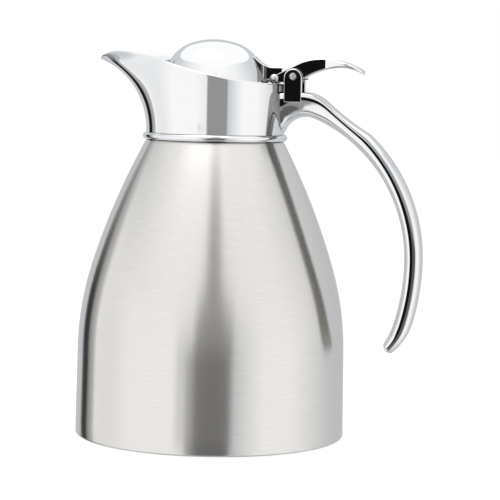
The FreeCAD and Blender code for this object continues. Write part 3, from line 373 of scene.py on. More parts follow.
def loft(name: str, loops: list[Loop], capped: bool = True) -> Piece:
    """Skin a row of closed loops that all have the same number of points.

    Args:
        name: Name of the piece.
        loops: Points of each loop in millimetres.
        capped: Whether the first and last loops are filled. If not, the last loop joins the first.

    Returns:
        The skinned piece.
    """
    form = bmesh.new()
    rows = [[form.verts.new((x * MM, y * MM, z * MM)) for x, y, z in loop] for loop in loops]
    pairs = list(zip(rows, rows[1:]))
    if capped:
        form.faces.new(rows[0])
        form.faces.new(rows[-1])
    else:
        pairs.append((rows[-1], rows[0]))
    for lower, upper in pairs:
        count = len(lower)
        for index in range(count):
            after = (index + 1) % count
            form.faces.new((lower[index], lower[after], upper[after], upper[index]))
    mesh = bpy.data.meshes.new(name)
    form.to_mesh(mesh)
    form.free()
    return placed(name, mesh)


def plate(name: str, outline: Profile, near: float, far: float, edge: float) -> Piece:
    """Cut a flat plate to an outline seen from the side, round its edges and lean its far face.

    Args:
        name: Name of the piece.
        outline: Corners in X and Z in millimetres.
        near: Y of one face in millimetres.
        far: Y of the other face in millimetres, at the plate's top.
        edge: Width of the rounded edge in millimetres.

    Returns:
        The finished plate.
    """
    mesh = bpy.data.meshes.new(name)
    corners = [(x * MM, near * MM, z * MM) for x, z in outline]
    mesh.from_pydata(corners, [], [list(range(len(corners)))])
    piece = placed(name, mesh)
    depth = (far - near) * MM
    with editing(piece):
        bpy.ops.mesh.extrude_region_move(TRANSFORM_OT_translate={"value": (0.0, depth, 0.0)})
        bpy.ops.mesh.select_all(action="SELECT")
        bpy.ops.mesh.normals_make_consistent(inside=False)
    apply_modifier(piece, "BEVEL", width=edge * MM, segments=BEVEL_STEPS, limit_method="ANGLE",
                   angle_limit=math.radians(BEVEL_ANGLE))
    tidy_faces(piece, PLATE_SHARP)
    top = max(vertex.co.z for vertex in piece.data.vertices)
    for vertex in piece.data.vertices:
        share = (vertex.co.y - near * MM) / depth
        vertex.co.y -= math.copysign(DRAFT * share * (top - vertex.co.z), depth)
    return piece


def rounded_bar(across: float, half: float, low: float, top: float, edge: float) -> Loop:
    """A bar's section at one X, with rounded edges and sides that lean in below.

    Args:
        across: X in millimetres.
        half: Half of the width at the top.
        low: Height of the underside.
        top: Height of the upper side.
        edge: Radius of the edges.

    Returns:
        The closed loop of points.
    """
    loop = []
    foot = half - DRAFT * (top - low)
    for y, z, first in ((foot, low, -90), (half, top, 0), (-half, top, 90), (-foot, low, 180)):
        middle = (y - math.copysign(edge, y), z + (edge if z == low else -edge))
        loop += [(across, *spot) for spot in sweep(middle, edge, first, first + 90, BAR_STEPS)]
    return loop


@dataclass(frozen=True)
class Hinge:
    """The sizes at the pin that the handle, the lid and the lever share."""

    pivot: Point = (39.9, 182.4)
    hub: float = 4.4
    hub_low: float = 179.2
    bore: float = 1.95
    drill_length: float = 40.0
    sides: int = 48

    def hub_round(self, last: float, steps: int) -> Profile:
        """The hub's line from its level underside round to an angle.

        Args:
            last: Last angle in degrees.
            steps: Number of stretches.

        Returns:
            The points in X and Z in millimetres.
        """
        start = math.degrees(math.asin((self.pivot[1] - self.hub_low) / self.hub)) - 180
        return sweep(self.pivot, self.hub, start, last, steps)

    def bored(self, piece: Piece) -> Piece:
        """Bore a plate from side to side for the barrel and finish its shading.

        Args:
            piece: Plate to bore.

        Returns:
            The same plate.
        """
        clear_selection()
        x, z = self.pivot
        bpy.ops.mesh.primitive_cylinder_add(vertices=self.sides, radius=self.bore * MM, rotation=ACROSS,
                                            depth=self.drill_length * MM, location=(x * MM, 0.0, z * MM))
        cut_away(piece, just_added("drill"))
        flatten_shading(piece)
        return piece


HINGE = Hinge()
# X of the upright axis of the dome and the stopper, in millimetres.
LID_AXIS = -1.0


class Wiring:
    """Adds and links nodes in one node tree."""

    def __init__(self, tree: bpy.types.NodeTree) -> None:
        """Keep the tree and start from nothing."""
        self.tree = tree
        tree.nodes.clear()

    def add(self, kind: str, **values: object) -> bpy.types.Node:
        """Add a node and set its attributes and its unlinked inputs.

        Args:
            kind: Node type.
            values: Attributes by name, or inputs by name with spaces as underscores.

        Returns:
            The new node.
        """
        node = self.tree.nodes.new(kind)
        for name, value in values.items():
            if hasattr(node, name):
                setattr(node, name, value)
            else:
                node.inputs[name.replace("_", " ")].default_value = value
        return node

    def link(self, source: Socket, target: Socket) -> None:
        """Join an output to an input."""
        self.tree.links.new(source, target)

    def feed(self, value: object, target: Socket) -> None:
        """Link a socket to an input, or set the input to a fixed value.

        Args:
            value: Socket or fixed value.
            target: Input to feed.
        """
        if isinstance(value, Socket):
            self.link(value, target)
        else:
            target.default_value = value

    def maths(self, operation: str, *values: object) -> Socket:
        """Add a Math node.

        Args:
            operation: The node's operation.
            values: Sockets or numbers to work on.

        Returns:
            The result's socket.
        """
        node = self.add("ShaderNodeMath", operation=operation)
        for value, target in zip(values, node.inputs):
            self.feed(value, target)
        return node.outputs[0]

    def remap(self, value: Socket, source: Span, target: Span) -> Socket:
        """Map a value from one range onto another.

        Args:
            value: Socket to map.
            source: Values at which the result starts and ends.
            target: Results there.

        Returns:
            The mapped socket.
        """
        node = self.add("ShaderNodeMapRange", From_Min=source[0], From_Max=source[1],
                        To_Min=target[0], To_Max=target[1])
        self.link(value, node.inputs["Value"])
        return node.outputs["Result"]

    def mixed(self, share: Socket, first: object, second: object, blend: str = "MIX") -> Socket:
        """Blend two colours.

        Args:
            share: How much of the second colour.
            first: Colour socket or fixed colour.
            second: Colour socket or fixed colour.
            blend: The node's way of blending.

        Returns:
            The blended socket.
        """
        node = self.add("ShaderNodeMix", data_type="RGBA", blend_type=blend)
        self.link(share, node.inputs[0])
        colours = [socket for socket in node.inputs if socket.type == "RGBA"]
        for value, target in zip((first, second), colours):
            self.feed(value, target)
        return next(socket for socket in node.outputs if socket.type == "RGBA")

    def shader_mix(self, share: Socket, first: bpy.types.Node, second: bpy.types.Node) -> bpy.types.Node:
        """Blend from a first shader node to a second one by a share.

        Args:
            share: How much of the second shader.
            first: First shader node.
            second: Second shader node.

        Returns:
            The blending node.
        """
        node = self.add("ShaderNodeMixShader")
        for source, target in zip((share, first.outputs[0], second.outputs[0]), node.inputs):
            self.link(source, target)
        return node


class Effect(Wiring):
    """A shared shader group with float sockets, laid out in Object coordinates."""

    def __init__(self, name: str, inputs: dict[str, float], outputs: list[str]) -> None:
        """Make the group with its sockets.

        Args:
            name: Name of the group.
            inputs: Names and default values of the inputs.
            outputs: Names of the outputs.
        """
        tree = bpy.data.node_groups.new(name, "ShaderNodeTree")
        for label, value in inputs.items():
            socket = tree.interface.new_socket(label, in_out="INPUT", socket_type="NodeSocketFloat")
            socket.default_value = value
        for label in outputs:
            tree.interface.new_socket(label, in_out="OUTPUT", socket_type="NodeSocketFloat")
        super().__init__(tree)
        self.entry = self.add("NodeGroupInput").outputs
        self.leave = self.add("NodeGroupOutput").inputs
        self.place = self.add("ShaderNodeTexCoord").outputs["Object"]

    def noise(self, label: str, vector: Socket, size: object, **values: float) -> None:
        """Send noise to one of the outputs.

        Args:
            label: Name of the output.
            vector: Places at which the noise is read.
            size: Socket or number for its scale.
            values: The node's other inputs.
        """
        node = self.add("ShaderNodeTexNoise", **values)
        self.link(vector, node.inputs["Vector"])
        self.feed(size, node.inputs["Scale"])
        self.link(node.outputs[0], self.leave[label])


def level_brushing() -> bpy.types.NodeTree:
    """Fine level lines round an upright axis, as an abrasive belt leaves on a turning body.

    Returns:
        A group with Lines, from 0 to 1.
    """
    effect = Effect("level_brushing", {"Pitch": 3800.0, "Reach": 9.0}, ["Lines"])
    split = effect.add("ShaderNodeSeparateXYZ")
    effect.link(effect.place, split.inputs[0])
    angle = effect.maths("ARCTAN2", split.outputs["Y"], split.outputs["X"])
    spot = effect.add("ShaderNodeCombineXYZ")
    for axis, value, scale in (("X", effect.maths("COSINE", angle), "Reach"),
                               ("Y", effect.maths("SINE", angle), "Reach"),
                               ("Z", split.outputs["Z"], "Pitch")):
        effect.link(effect.maths("MULTIPLY", value, effect.entry[scale]), spot.inputs[axis])
    effect.noise("Lines", spot.outputs[0], 1.0, Detail=4.0, Roughness=0.7)
    return effect.tree


def handling_marks() -> bpy.types.NodeTree:
    """Faint smears and hairlines that polished metal collects in use.

    Returns:
        A group with Smears and Hairlines, each from 0 to 1.
    """
    effect = Effect("handling_marks", {"Smear Size": 45.0, "Hair Size": 260.0}, ["Smears", "Hairlines"])
    effect.noise("Smears", effect.place, effect.entry["Smear Size"], Detail=3.0, Roughness=0.55,
                 Distortion=0.6)
    slant = effect.add("ShaderNodeMapping", Rotation=(0.4, 0.9, 0.3), Scale=(1.0, 18.0, 1.0))
    effect.link(effect.place, slant.inputs["Vector"])
    effect.noise("Hairlines", slant.outputs[0], effect.entry["Hair Size"], Detail=2.0)
    return effect.tree


def moulded_grain() -> bpy.types.NodeTree:
    """The fine matt grain of moulded plastic and rubber.

    Returns:
        A group with Grain and Patches, each from 0 to 1.
    """
    effect = Effect("moulded_grain", {"Grain Size": 2600.0, "Patch Size": 60.0}, ["Grain", "Patches"])
    effect.noise("Grain", effect.place, effect.entry["Grain Size"], Detail=3.0)
    effect.noise("Patches", effect.place, effect.entry["Patch Size"], Detail=3.0)
    return effect.tree


@dataclass(frozen=True)
class Finish:
    """What every finish has: a slot, two tones, two roughnesses and a relief."""

    slot: Slot
    dark: Tone
    light: Tone
    smooth: float
    rough: float
    relief: float = 0.0

    def start(self) -> tuple[bpy.types.Material, Wiring, bpy.types.Node]:
        """Open a material with one Principled shader.

        Returns:
            The material, its wiring and the shader.
        """
        material = bpy.data.materials.new(f"{self.slot.value}_finish")
        material.use_nodes = True
        wiring = Wiring(material.node_tree)
        shader = wiring.add("ShaderNodeBsdfPrincipled")
        leave = wiring.add("ShaderNodeOutputMaterial")
        wiring.link(shader.outputs[0], leave.inputs["Surface"])
        return material, wiring, shader

    def tone(self, wiring: Wiring, wear: Socket) -> Socket:
        """The colour socket that runs from dark to light with wear."""
        return wiring.mixed(wear, (*self.dark, 1.0), (*self.light, 1.0))

    def surface(self, wiring: Wiring, shader: bpy.types.Node, wear: Socket, grain: Socket,
                depth: float) -> None:
        """Vary the roughness with wear and raise the grain.

        Args:
            wiring: The material's wiring.
            shader: The Principled shader.
            wear: Socket from smooth to rough.
            grain: Socket of the relief.
            depth: Depth of the relief in metres.
        """
        wiring.link(wiring.remap(wear, (0.0, 1.0), (self.smooth, self.rough)), shader.inputs["Roughness"])
        if self.relief:
            bump = wiring.add("ShaderNodeBump", Strength=self.relief, Distance=depth)
            wiring.link(grain, bump.inputs["Height"])
            wiring.link(bump.outputs[0], shader.inputs["Normal"])


@dataclass(frozen=True)
class Metal(Finish):
    """A polished, satin or brushed metal finish, with painted shade that darkens its colour where other metal
    mirrors it.
    """

    brushed: bool = False
    anisotropy: float = 0.0
    brush_turn: float = 0.25
    # Painted shade: where other metal mirrors this metal, its colour is multiplied by this share and warmed
    # by this tint.
    painted_reflection_shade: float = 1.0
    painted_reflection_shade_tint: Tone = (1.0, 0.97, 0.92)
    depth: float = 0.00005

    def make(self, groups: dict[str, bpy.types.NodeTree]) -> bpy.types.Material:
        """Build the material.

        Args:
            groups: The shared effects by name.

        Returns:
            The finished material.
        """
        material, wiring, shader = self.start()
        shader.inputs["Metallic"].default_value = 1.0
        if self.anisotropy:
            shader.inputs["Anisotropic"].default_value = self.anisotropy
            shader.inputs["Anisotropic Rotation"].default_value = self.brush_turn
            tangent = wiring.add("ShaderNodeTangent", direction_type="RADIAL", axis="Z")
            wiring.link(tangent.outputs[0], shader.inputs["Tangent"])
        effect = wiring.add("ShaderNodeGroup", node_tree=groups["brushing" if self.brushed else "marks"])
        wear = effect.outputs["Lines" if self.brushed else "Smears"]
        grain = effect.outputs["Lines" if self.brushed else "Hairlines"]
        colour = self.tone(wiring, wear)
        # Painted shade: for glossy rays only, the colour is multiplied darker and warmer, so the metal looks
        # shaded where other metal mirrors it.
        if self.painted_reflection_shade < 1.0:
            path = wiring.add("ShaderNodeLightPath")
            painted_shade_colour = (*(self.painted_reflection_shade * warmth for warmth in self.painted_reflection_shade_tint), 1.0)
            colour = wiring.mixed(path.outputs["Is Glossy Ray"], colour, painted_shade_colour, "MULTIPLY")
        wiring.link(colour, shader.inputs["Base Color"])
        self.surface(wiring, shader, wear, grain, self.depth)
        return material


@dataclass(frozen=True)
class Moulding(Finish):
    """A plastic, rubber or foam finish."""

    depth: float = 0.00008

    def make(self, groups: dict[str, bpy.types.NodeTree]) -> bpy.types.Material:
        """Build the material.

        Args:
            groups: The shared effects by name.

        Returns:
            The finished material.
        """
        material, wiring, shader = self.start()
        effect = wiring.add("ShaderNodeGroup", node_tree=groups["grain"])
        patches = effect.outputs["Patches"]
        wiring.link(self.tone(wiring, patches), shader.inputs["Base Color"])
        self.surface(wiring, shader, patches, effect.outputs["Grain"], self.depth)
        return material


FINISHES: list[Metal | Moulding] = [
    Metal(Slot.BRUSHED_STEEL, (0.74, 0.72, 0.69), (0.93, 0.91, 0.877), 0.19, 0.25, 0.06, brushed=True,
          anisotropy=0.9),
    Metal(Slot.INNER_STEEL, (0.58, 0.58, 0.575), (0.72, 0.72, 0.71), 0.26, 0.36, 0.15, brushed=True,
          anisotropy=0.3),
    # The bright chrome has painted shade: it keeps 0.30 of its colour where other metal mirrors it.
    Metal(Slot.BRIGHT_CHROME, (0.90, 0.905, 0.915), (0.95, 0.955, 0.96), 0.012, 0.03, painted_reflection_shade=0.30),
    Metal(Slot.SCREW_STEEL, (0.70, 0.70, 0.71), (0.84, 0.84, 0.85), 0.22, 0.34),
    Metal(Slot.SPRING_STEEL, (0.38, 0.38, 0.40), (0.52, 0.52, 0.53), 0.2, 0.34),
    Metal(Slot.SOLDER, (0.42, 0.42, 0.43), (0.56, 0.56, 0.56), 0.4, 0.6),
    Moulding(Slot.BLACK_PLASTIC, (0.012, 0.012, 0.013), (0.022, 0.022, 0.023), 0.32, 0.46, 0.25),
    Moulding(Slot.BLACK_RUBBER, (0.014, 0.014, 0.014), (0.03, 0.03, 0.03), 0.62, 0.8, 0.4),
    Moulding(Slot.SILICONE, (0.62, 0.62, 0.60), (0.74, 0.74, 0.71), 0.4, 0.55, 0.15),
    Moulding(Slot.PALE_FOAM, (0.70, 0.68, 0.62), (0.82, 0.80, 0.74), 0.8, 0.95, 0.6),
]


class Wardrobe:
    """Holds the finishes and dresses pieces and solids in them."""

    def __init__(self) -> None:
        """Build every finish once."""
        groups = {"brushing": level_brushing(), "marks": handling_marks(), "grain": moulded_grain()}
        self.materials = {finish.slot: finish.make(groups) for finish in FINISHES}

    def dress(self, piece: Piece, slot: Slot, body: Body, *nodes: str) -> None:
        """Give a new piece its finish and its body, and hide the solids that it stands for.

        Args:
            piece: New piece.
            slot: Finish.
            body: Body that it rides on.
            nodes: Solids that it replaces.
        """
        piece.data.materials.clear()
        piece.data.materials.append(self.materials[slot])
        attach(piece, body.value)
        if nodes:
            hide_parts(*nodes)
        LOG.info("%s rides on %s in %s", piece.name, body.value, slot.value)

    def dress_solids(self) -> None:
        """Give every solid the finish of its slot."""
        slots = {part["node"]: part["material_slot"] for part in frame["record"]["subparts"]}
        for name, solid in frame["nodes"].items():
            material = self.materials[Slot(slots[name])]
            if not solid.material_slots:
                solid.data.materials.append(material)
            for holder in solid.material_slots:
                holder.material = material
            LOG.info("%s is a solid in %s", name, slots[name])


@dataclass
class Vessel:
    """The brushed body on its foot and pad."""

    foot_radius: float = 68.0
    foot_lip: float = 59.0
    foot_lift: float = 0.5
    foot_edge: float = 1.2
    belly: Point = (67.393, 44.65)
    belly_curve: float = 149.3
    waist: Point = (60.942, 86.0)
    shoulder_curve: float = 349.2
    shoulder: Point = (34.65, 149.3)
    shoulder_edge: Point = (0.5, 0.04)
    neck_radius: float = 31.0
    neck_foot: float = 0.4
    neck_height: float = 4.0
    wall: float = 0.8
    pad_radius: float = 58.6
    pad_top: float = 1.3
    pad_hub: float = 6.0
    pad_edge: float = 0.5
    pad_chamfer: float = 0.12
    groove_outer: float = 4.0
    groove_inner: float = 6.0
    groove_slope: float = 0.4
    groove_depth: float = 0.3
    segments: int = 192

    def shell(self) -> Piece:
        """The outer wall from the foot's lip to the neck.

        Returns:
            The wall with its thickness.
        """
        low = (self.foot_radius - self.foot_edge, self.foot_lift)
        side = (self.foot_radius, self.foot_lift + self.foot_edge)
        across, height = self.shoulder
        profile = [(self.foot_lip, self.foot_lift), *arc(low, side, self.foot_edge, Turn.LEFT, steps=5)]
        profile += along([side, self.belly], steps=6)[1:]
        profile += arc(self.belly, self.waist, self.belly_curve, Turn.LEFT, steps=10)[1:]
        profile += arc(self.waist, self.shoulder, self.shoulder_curve, Turn.LEFT, steps=16)[1:]
        profile += [(across - self.shoulder_edge[0], height + self.shoulder_edge[1]),
                    (self.neck_radius, height + self.neck_foot),
                    (self.neck_radius, height + self.neck_height)]
        piece = turned("body_shell", profile, self.segments)
        tidy_faces(piece)
        apply_modifier(piece, "SOLIDIFY", thickness=self.wall * MM, offset=-1.0, use_even_offset=True)
        smooth(piece)
        return piece

    def pad(self) -> Piece:
        """The pad under the foot, with a groove round its underside.

        Returns:
            The closed pad.
        """
        rim = self.pad_radius
        inner, outer = rim - self.groove_inner, rim - self.groove_outer
        profile = [(self.pad_hub, 0.0), (inner, 0.0), (inner + self.groove_slope, self.groove_depth),
                   (outer - self.groove_slope, self.groove_depth), (outer, 0.0), (rim - self.pad_edge, 0.0),
                   (rim - self.pad_chamfer, self.pad_chamfer), (rim, self.pad_edge), (rim, self.pad_top),
                   (self.pad_hub, self.pad_top)]
        piece = turned("foot_pad", profile, self.segments)
        close_holes(piece)
        tidy_faces(piece)
        return piece

    def build(self, wardrobe: Wardrobe) -> None:
        """Model the shell and the pad.

        Args:
            wardrobe: Finishes.
        """
        wardrobe.dress(self.shell(), Slot.BRUSHED_STEEL, Body.POT, "outer_shell")
        wardrobe.dress(self.pad(), Slot.BLACK_RUBBER, Body.POT, "base_pad")


@dataclass
class PouringCollar:
    """The bright collar with its bead, lip and basin."""

    radius: float = 34.65
    wall: float = 1.5
    low: float = 149.6
    bead: float = 1.7
    start: float = 153.7
    reach: float = 59.9
    nose_round: float = 5.0
    spread_low: float = 50.0
    spread_high: float = 16.5
    spread_ease: float = 0.8
    power_low: float = 2.0
    power_high: float = 1.2
    tip_height: float = 189.3
    crest: Point = (-47.0, 193.5)
    turn_point: Point = (-25.0, 189.9)
    back_height: float = 178.4
    floor_low: float = 169.5
    floor_top: float = 171.3
    floor_round: float = 0.8
    floor_ease: float = 0.25
    mouth: float = 22.5
    seat_width: float = 2.0
    seat_rise: float = 1.0
    seat_edge: float = 0.3
    columns: int = 256
    crowding: float = 0.65
    wall_steps: int = 28
    rim_steps: int = 9
    basin_steps: int = 18
    search_margin: float = 4.0
    halvings: int = 40

    def reach_at(self, height: float) -> float:
        """How far the lip reaches at a height.

        Args:
            height: Height in millimetres.

        Returns:
            The reach in millimetres.
        """
        climb = max(height - self.start, 0.0)
        full = self.tip_height - self.start
        out = self.reach - self.radius
        front = curve_radius(full, out)
        if climb > full:
            return self.reach + (climb - full) * full / (front - out)
        return self.radius + front - math.sqrt(front ** 2 - climb ** 2)

    def skin(self, angle: float, height: float) -> float:
        """Distance of the outer face from the axis.

        Args:
            angle: Angle from the lip's middle in radians.
            height: Height in millimetres.

        Returns:
            The distance in millimetres.
        """
        climb = min(max(height - self.start, 0.0) / (self.tip_height - self.start), 1.0)
        spread = self.spread_low + (self.spread_high - self.spread_low) * climb ** self.spread_ease
        power = self.power_low + (self.power_high - self.power_low) * climb
        away = math.hypot(math.degrees(angle), self.nose_round) - self.nose_round
        return self.radius + (self.reach_at(height) - self.radius) * math.exp(-(away / spread) ** power)

    def span(self, angle: float, height: float, inset: float) -> float:
        """Distance of the wall from the axis.

        Args:
            angle: Angle from the lip's middle in radians.
            height: Height in millimetres.
            inset: Depth below the outer face in millimetres.

        Returns:
            The distance in millimetres.
        """
        here = self.skin(angle, height)
        if not inset:
            return here
        nudge = 0.01
        slope = (self.skin(angle + nudge, height) - self.skin(angle - nudge, height)) / (2 * nudge)
        return here - inset * math.sqrt(1 + (slope / here) ** 2)

    def rim(self, across: float) -> float:
        """Height of the rim above a place on the X axis.

        Args:
            across: X in millimetres.

        Returns:
            The height in millimetres.
        """
        crest_x, crest_z = self.crest
        turn_x, turn_z = self.turn_point
        run, fall = self.reach + crest_x, crest_z - self.tip_height
        lip = curve_radius(run, fall)
        if across < -self.reach:
            return self.tip_height + (across + self.reach) * run / (lip - fall)
        if across < crest_x:
            return crest_z - lip + math.sqrt(lip ** 2 - (across - crest_x) ** 2)
        run = turn_x - crest_x
        brow = curve_radius(run, crest_z - turn_z)
        if across < turn_x:
            return crest_z - brow + math.sqrt(brow ** 2 - (across - crest_x) ** 2)
        lean = math.asin(run / brow)
        hollow = curve_radius(self.radius - turn_x, turn_z - self.back_height, lean)
        middle = (turn_x + hollow * math.sin(lean), turn_z + hollow * math.cos(lean))
        return middle[1] - math.sqrt(hollow ** 2 - (across - middle[0]) ** 2)

    def rim_height(self, angle: float) -> float:
        """Height at which the wall meets the rim line, found by halving.

        Args:
            angle: Angle from the lip's middle in radians.

        Returns:
            The height in millimetres.
        """
        low, high = self.floor_top, self.crest[1] + self.search_margin
        for _ in range(self.halvings):
            middle = (low + high) / 2
            if middle < self.rim(-self.skin(angle, middle) * math.cos(angle)):
                low = middle
            else:
                high = middle
        return low

    def angles(self) -> list[float]:
        """Angles of the columns from the lip's middle, closer together at the lip.

        Returns:
            The angles in radians.
        """
        half = self.columns // 2
        shares = [step / half for step in range(half + 1)]
        spread = [math.pi * ((1 - self.crowding) * share + self.crowding * share ** 2) for share in shares]
        return [-value for value in reversed(spread[1:])] + spread[:-1]

    def loops(self) -> list[Loop]:
        """The collar's closed skin, up the outside, over the rim and down into the basin.

        Returns:
            One loop of points for each row.
        """
        angles = self.angles()
        rims = [self.rim_height(angle) for angle in angles]
        half_wall = self.wall / 2
        inside = self.radius - self.wall

        def circle(radius: float, height: float) -> Loop:
            """A level ring."""
            return [(-radius * math.cos(angle), radius * math.sin(angle), height) for angle in angles]

        def wall_loop(share: float, inset: float, start: float, rise: float = 0.0) -> Loop:
            """A ring at a share of the way from a start height to the rim, and a rise above that.

            Args:
                share: Share of the way.
                inset: Depth below the outer face.
                start: Height at which the way starts.
                rise: Rise above the place on the way.

            Returns:
                The ring's points.
            """
            loop = []
            for angle, top in zip(angles, rims):
                height = start + (top - half_wall - start) * share + rise
                span = self.span(angle, height, inset)
                loop.append((-span * math.cos(angle), span * math.sin(angle), height))
            return loop

        bead = sweep((self.radius, self.low + self.bead), self.bead, -90, 90, steps=12)
        rows = [circle(radius, height) for radius, height in [(inside, self.low), *bead]]
        rows += [wall_loop(step / self.wall_steps, 0.0, self.start) for step in range(self.wall_steps + 1)]
        for step in range(1, self.rim_steps):
            turn = math.pi * step / self.rim_steps
            inset, rise = half_wall * (1 - math.cos(turn)), half_wall * math.sin(turn)
            rows.append(wall_loop(1.0, inset, self.start, rise))
        for step in range(self.basin_steps + 1):
            rows.append(wall_loop(1 - step / self.basin_steps, self.wall, self.floor_top + self.floor_round))
        rows.append(wall_loop(0.0, self.wall + self.floor_ease, self.floor_top + self.floor_ease))
        rows.append(wall_loop(0.0, self.wall + self.floor_round, self.floor_top))
        edge = self.seat_edge
        seat_top, seat_out = self.floor_top + self.seat_rise, self.mouth + self.seat_width
        rows += [circle(radius, height) for radius, height in (
            (seat_out, self.floor_top), (seat_out, seat_top - edge), (seat_out - edge, seat_top),
            (self.mouth + edge, seat_top), (self.mouth, seat_top - edge), (self.mouth, self.floor_low),
            (inside, self.floor_low))]
        return rows

    def build(self, wardrobe: Wardrobe) -> None:
        """Model the collar as one closed skin.

        Args:
            wardrobe: Finishes.
        """
        collar = loft("pouring_collar", self.loops(), capped=False)
        tidy_faces(collar, angle=45.0)
        wardrobe.dress(collar, Slot.BRIGHT_CHROME, Body.POT, "collar")


@dataclass
class Handle:
    """The arm with its root on the collar and its two hinge ears."""

    half_width: float = 9.0
    collar_radius: float = 34.65
    root_sink: float = 0.7
    upper: Point = (21.5, 91.6)
    upper_outer: float = 84.7
    upper_inner: float = 75.7
    lower: Point = (-12.2, 91.6)
    lower_outer: float = 118.4
    lower_inner: float = 109.4
    arch_middle: Point = (46.2, 151.07)
    arch_curve: float = 11.3
    arch_low: float = 153.3
    arch_turn: float = 67.45
    root_top: float = 174.9
    ear_middle: Point = (39.9, 181.6)
    ear_half: float = 4.55
    ear_inner: float = 6.2
    ear_depth: float = 5.6
    ear_edge: float = 0.55
    knuckle_curve: float = 18.0
    knuckle_turn: float = 42.0
    scoop_turn: float = 47.2
    bump_curve: float = 9.0
    bump_turn: float = 12.0
    tip_curve: float = 30.0
    tip_lean: float = 40.5
    tip_flat: float = 0.55
    tip_round: float = 3.2
    tip_inner_lean: float = 47.0
    tip_inner_turn: float = 17.0
    tip_outer_turn: float = 15.0
    tip_belly: Point = (0.35, -0.2)
    end_turn: float = 75.0
    end_meet: float = 230.0
    end_narrowing: float = 3.0
    root_half: float = 8.45
    root_share: float = 0.12
    flat_face: float = 3.0
    flat_top: float = 2.6
    flat_side: float = 3.6
    root_steps: int = 12
    back_steps: int = 22
    arm_steps: int = 24
    tip_steps: int = 10
    end_steps: int = 6
    ease_steps: int = 40
    section_points: int = 72

    @property
    def root_reach(self) -> float:
        """Radius to which the root is sunk into the collar's wall."""
        return self.collar_radius - self.root_sink

    def back_line(self) -> Profile:
        """The line over the knuckle and through the scoop, from the ears to the arm.

        Returns:
            The points in X and Z.
        """
        middle = (self.ear_middle[0] + self.ear_half, self.root_top - self.knuckle_curve)
        knuckle = polar(middle, self.knuckle_curve, 90 - self.knuckle_turn)
        scoop_start = polar(self.upper, self.upper_outer, self.scoop_turn)
        chord = 2 * self.bump_curve * math.sin(math.radians(self.bump_turn / 2))
        scoop_end = polar(scoop_start, chord, 90 + self.scoop_turn + self.bump_turn / 2)
        scoop_curve = curve_radius(scoop_end[0] - knuckle[0], knuckle[1] - scoop_end[1],
                                   math.radians(self.knuckle_turn))
        line = sweep(middle, self.knuckle_curve, 90, 90 - self.knuckle_turn, steps=10)
        line += list(reversed(arc(scoop_end, knuckle, scoop_curve, Turn.RIGHT, steps=12)))[1:]
        line += list(reversed(arc(scoop_start, scoop_end, self.bump_curve, Turn.LEFT, steps=4)))[1:]
        return along(line, self.back_steps)

    def tip_lines(self, outer: Point, inner: Point) -> tuple[Profile, Profile]:
        """The curl at the arm's end and its flattened end face.

        Args:
            outer: Point at which the outer line starts to curl.
            inner: Point at which the inner line does.

        Returns:
            Outer and inner points in X and Z, without those two.
        """
        facing = self.tip_lean - 90
        middle = polar(outer, -self.tip_curve, -self.tip_outer_turn)
        tip_end = polar(middle, self.tip_curve, facing)
        round_middle = polar(tip_end, -self.tip_round, facing)
        inward = 90 + self.tip_inner_lean
        tip_in = polar(round_middle, self.tip_round, inward)
        belly = tuple((first + last) / 2 + swell for first, last, swell in zip(inner, tip_in, self.tip_belly))
        end_outer = sweep(round_middle, self.tip_round, facing, facing - self.end_turn, self.end_steps)
        end_inner = sweep(round_middle, self.tip_round, inward, self.end_meet, self.end_steps)
        corner = Vector(tip_end)
        way = (Vector(tip_in) - corner).normalized()
        outward = Vector((way.y, -way.x))

        def flattened(points: Profile) -> Profile:
            """Draw the round end towards the straight line between its corners."""
            spots = [Vector(point) for point in points]
            return [tuple(spot - outward * self.tip_flat * (spot - corner).dot(outward)) for spot in spots]

        return (sweep(middle, self.tip_curve, -self.tip_outer_turn, facing, self.tip_steps)[1:]
                + flattened(end_outer[1:]),
                along([inner, belly, tip_in], self.tip_steps)[1:] + flattened(end_inner[1:]))

    def outlines(self) -> tuple[Profile, Profile]:
        """The arm's outer and inner lines, paired point by point from the root to the tip.

        Returns:
            Outer and inner points in X and Z.
        """
        ear_back = self.ear_middle[0] + self.ear_half
        arch_start = math.degrees(math.asin((self.arch_low - self.arch_middle[1]) / self.arch_curve))
        outer = along([(self.root_reach, self.root_top), (ear_back, self.root_top)], self.root_steps)
        outer += self.back_line()[1:]
        outer += sweep(self.upper, self.upper_outer, self.scoop_turn, 0, self.arm_steps)[1:]
        outer += sweep(self.lower, self.lower_outer, 0, -self.tip_outer_turn, self.tip_steps)[1:]
        inner = sweep(self.arch_middle, self.arch_curve, 180 - arch_start, self.arch_turn, self.root_steps)
        inner += sweep(self.upper, self.upper_inner, self.arch_turn, self.scoop_turn, self.back_steps)[1:]
        inner += sweep(self.upper, self.upper_inner, self.scoop_turn, 0, self.arm_steps)[1:]
        inner += sweep(self.lower, self.lower_inner, 0, -self.tip_inner_turn, self.tip_steps)[1:]
        tip_outer, tip_inner = self.tip_lines(outer[-1], inner[-1])
        return outer + tip_outer, inner + tip_inner

    def section(self, outer: Point, inner: Point, width: float, share: float, hug: bool) -> Loop:
        """One rounded section across the arm.

        Args:
            outer: Point on the outer line.
            inner: Point on the inner line.
            width: Half of the section's width.
            share: Part of the depth that lies outside the widest line.
            hug: Whether the section follows the collar's round wall.

        Returns:
            The closed loop of points.
        """
        deep = (inner[0] - outer[0], inner[1] - outer[1])
        loop = []
        for step in range(self.section_points):
            turn = 2 * math.pi * step / self.section_points
            cosine, sine = math.cos(turn), math.sin(turn)
            across = math.copysign(abs(cosine) ** (2 / self.flat_face), cosine) * width
            if sine > 0:
                place = share - share * sine ** (2 / self.flat_top)
            else:
                place = share + (1 - share) * (-sine) ** (2 / self.flat_side)
                across -= math.copysign(DRAFT * (place - share) * math.hypot(*deep), across)
            x, z = outer[0] + deep[0] * place, outer[1] + deep[1] * place
            if hug:
                x = math.sqrt(self.root_reach ** 2 - across ** 2)
            loop.append((x, across, z))
        return loop

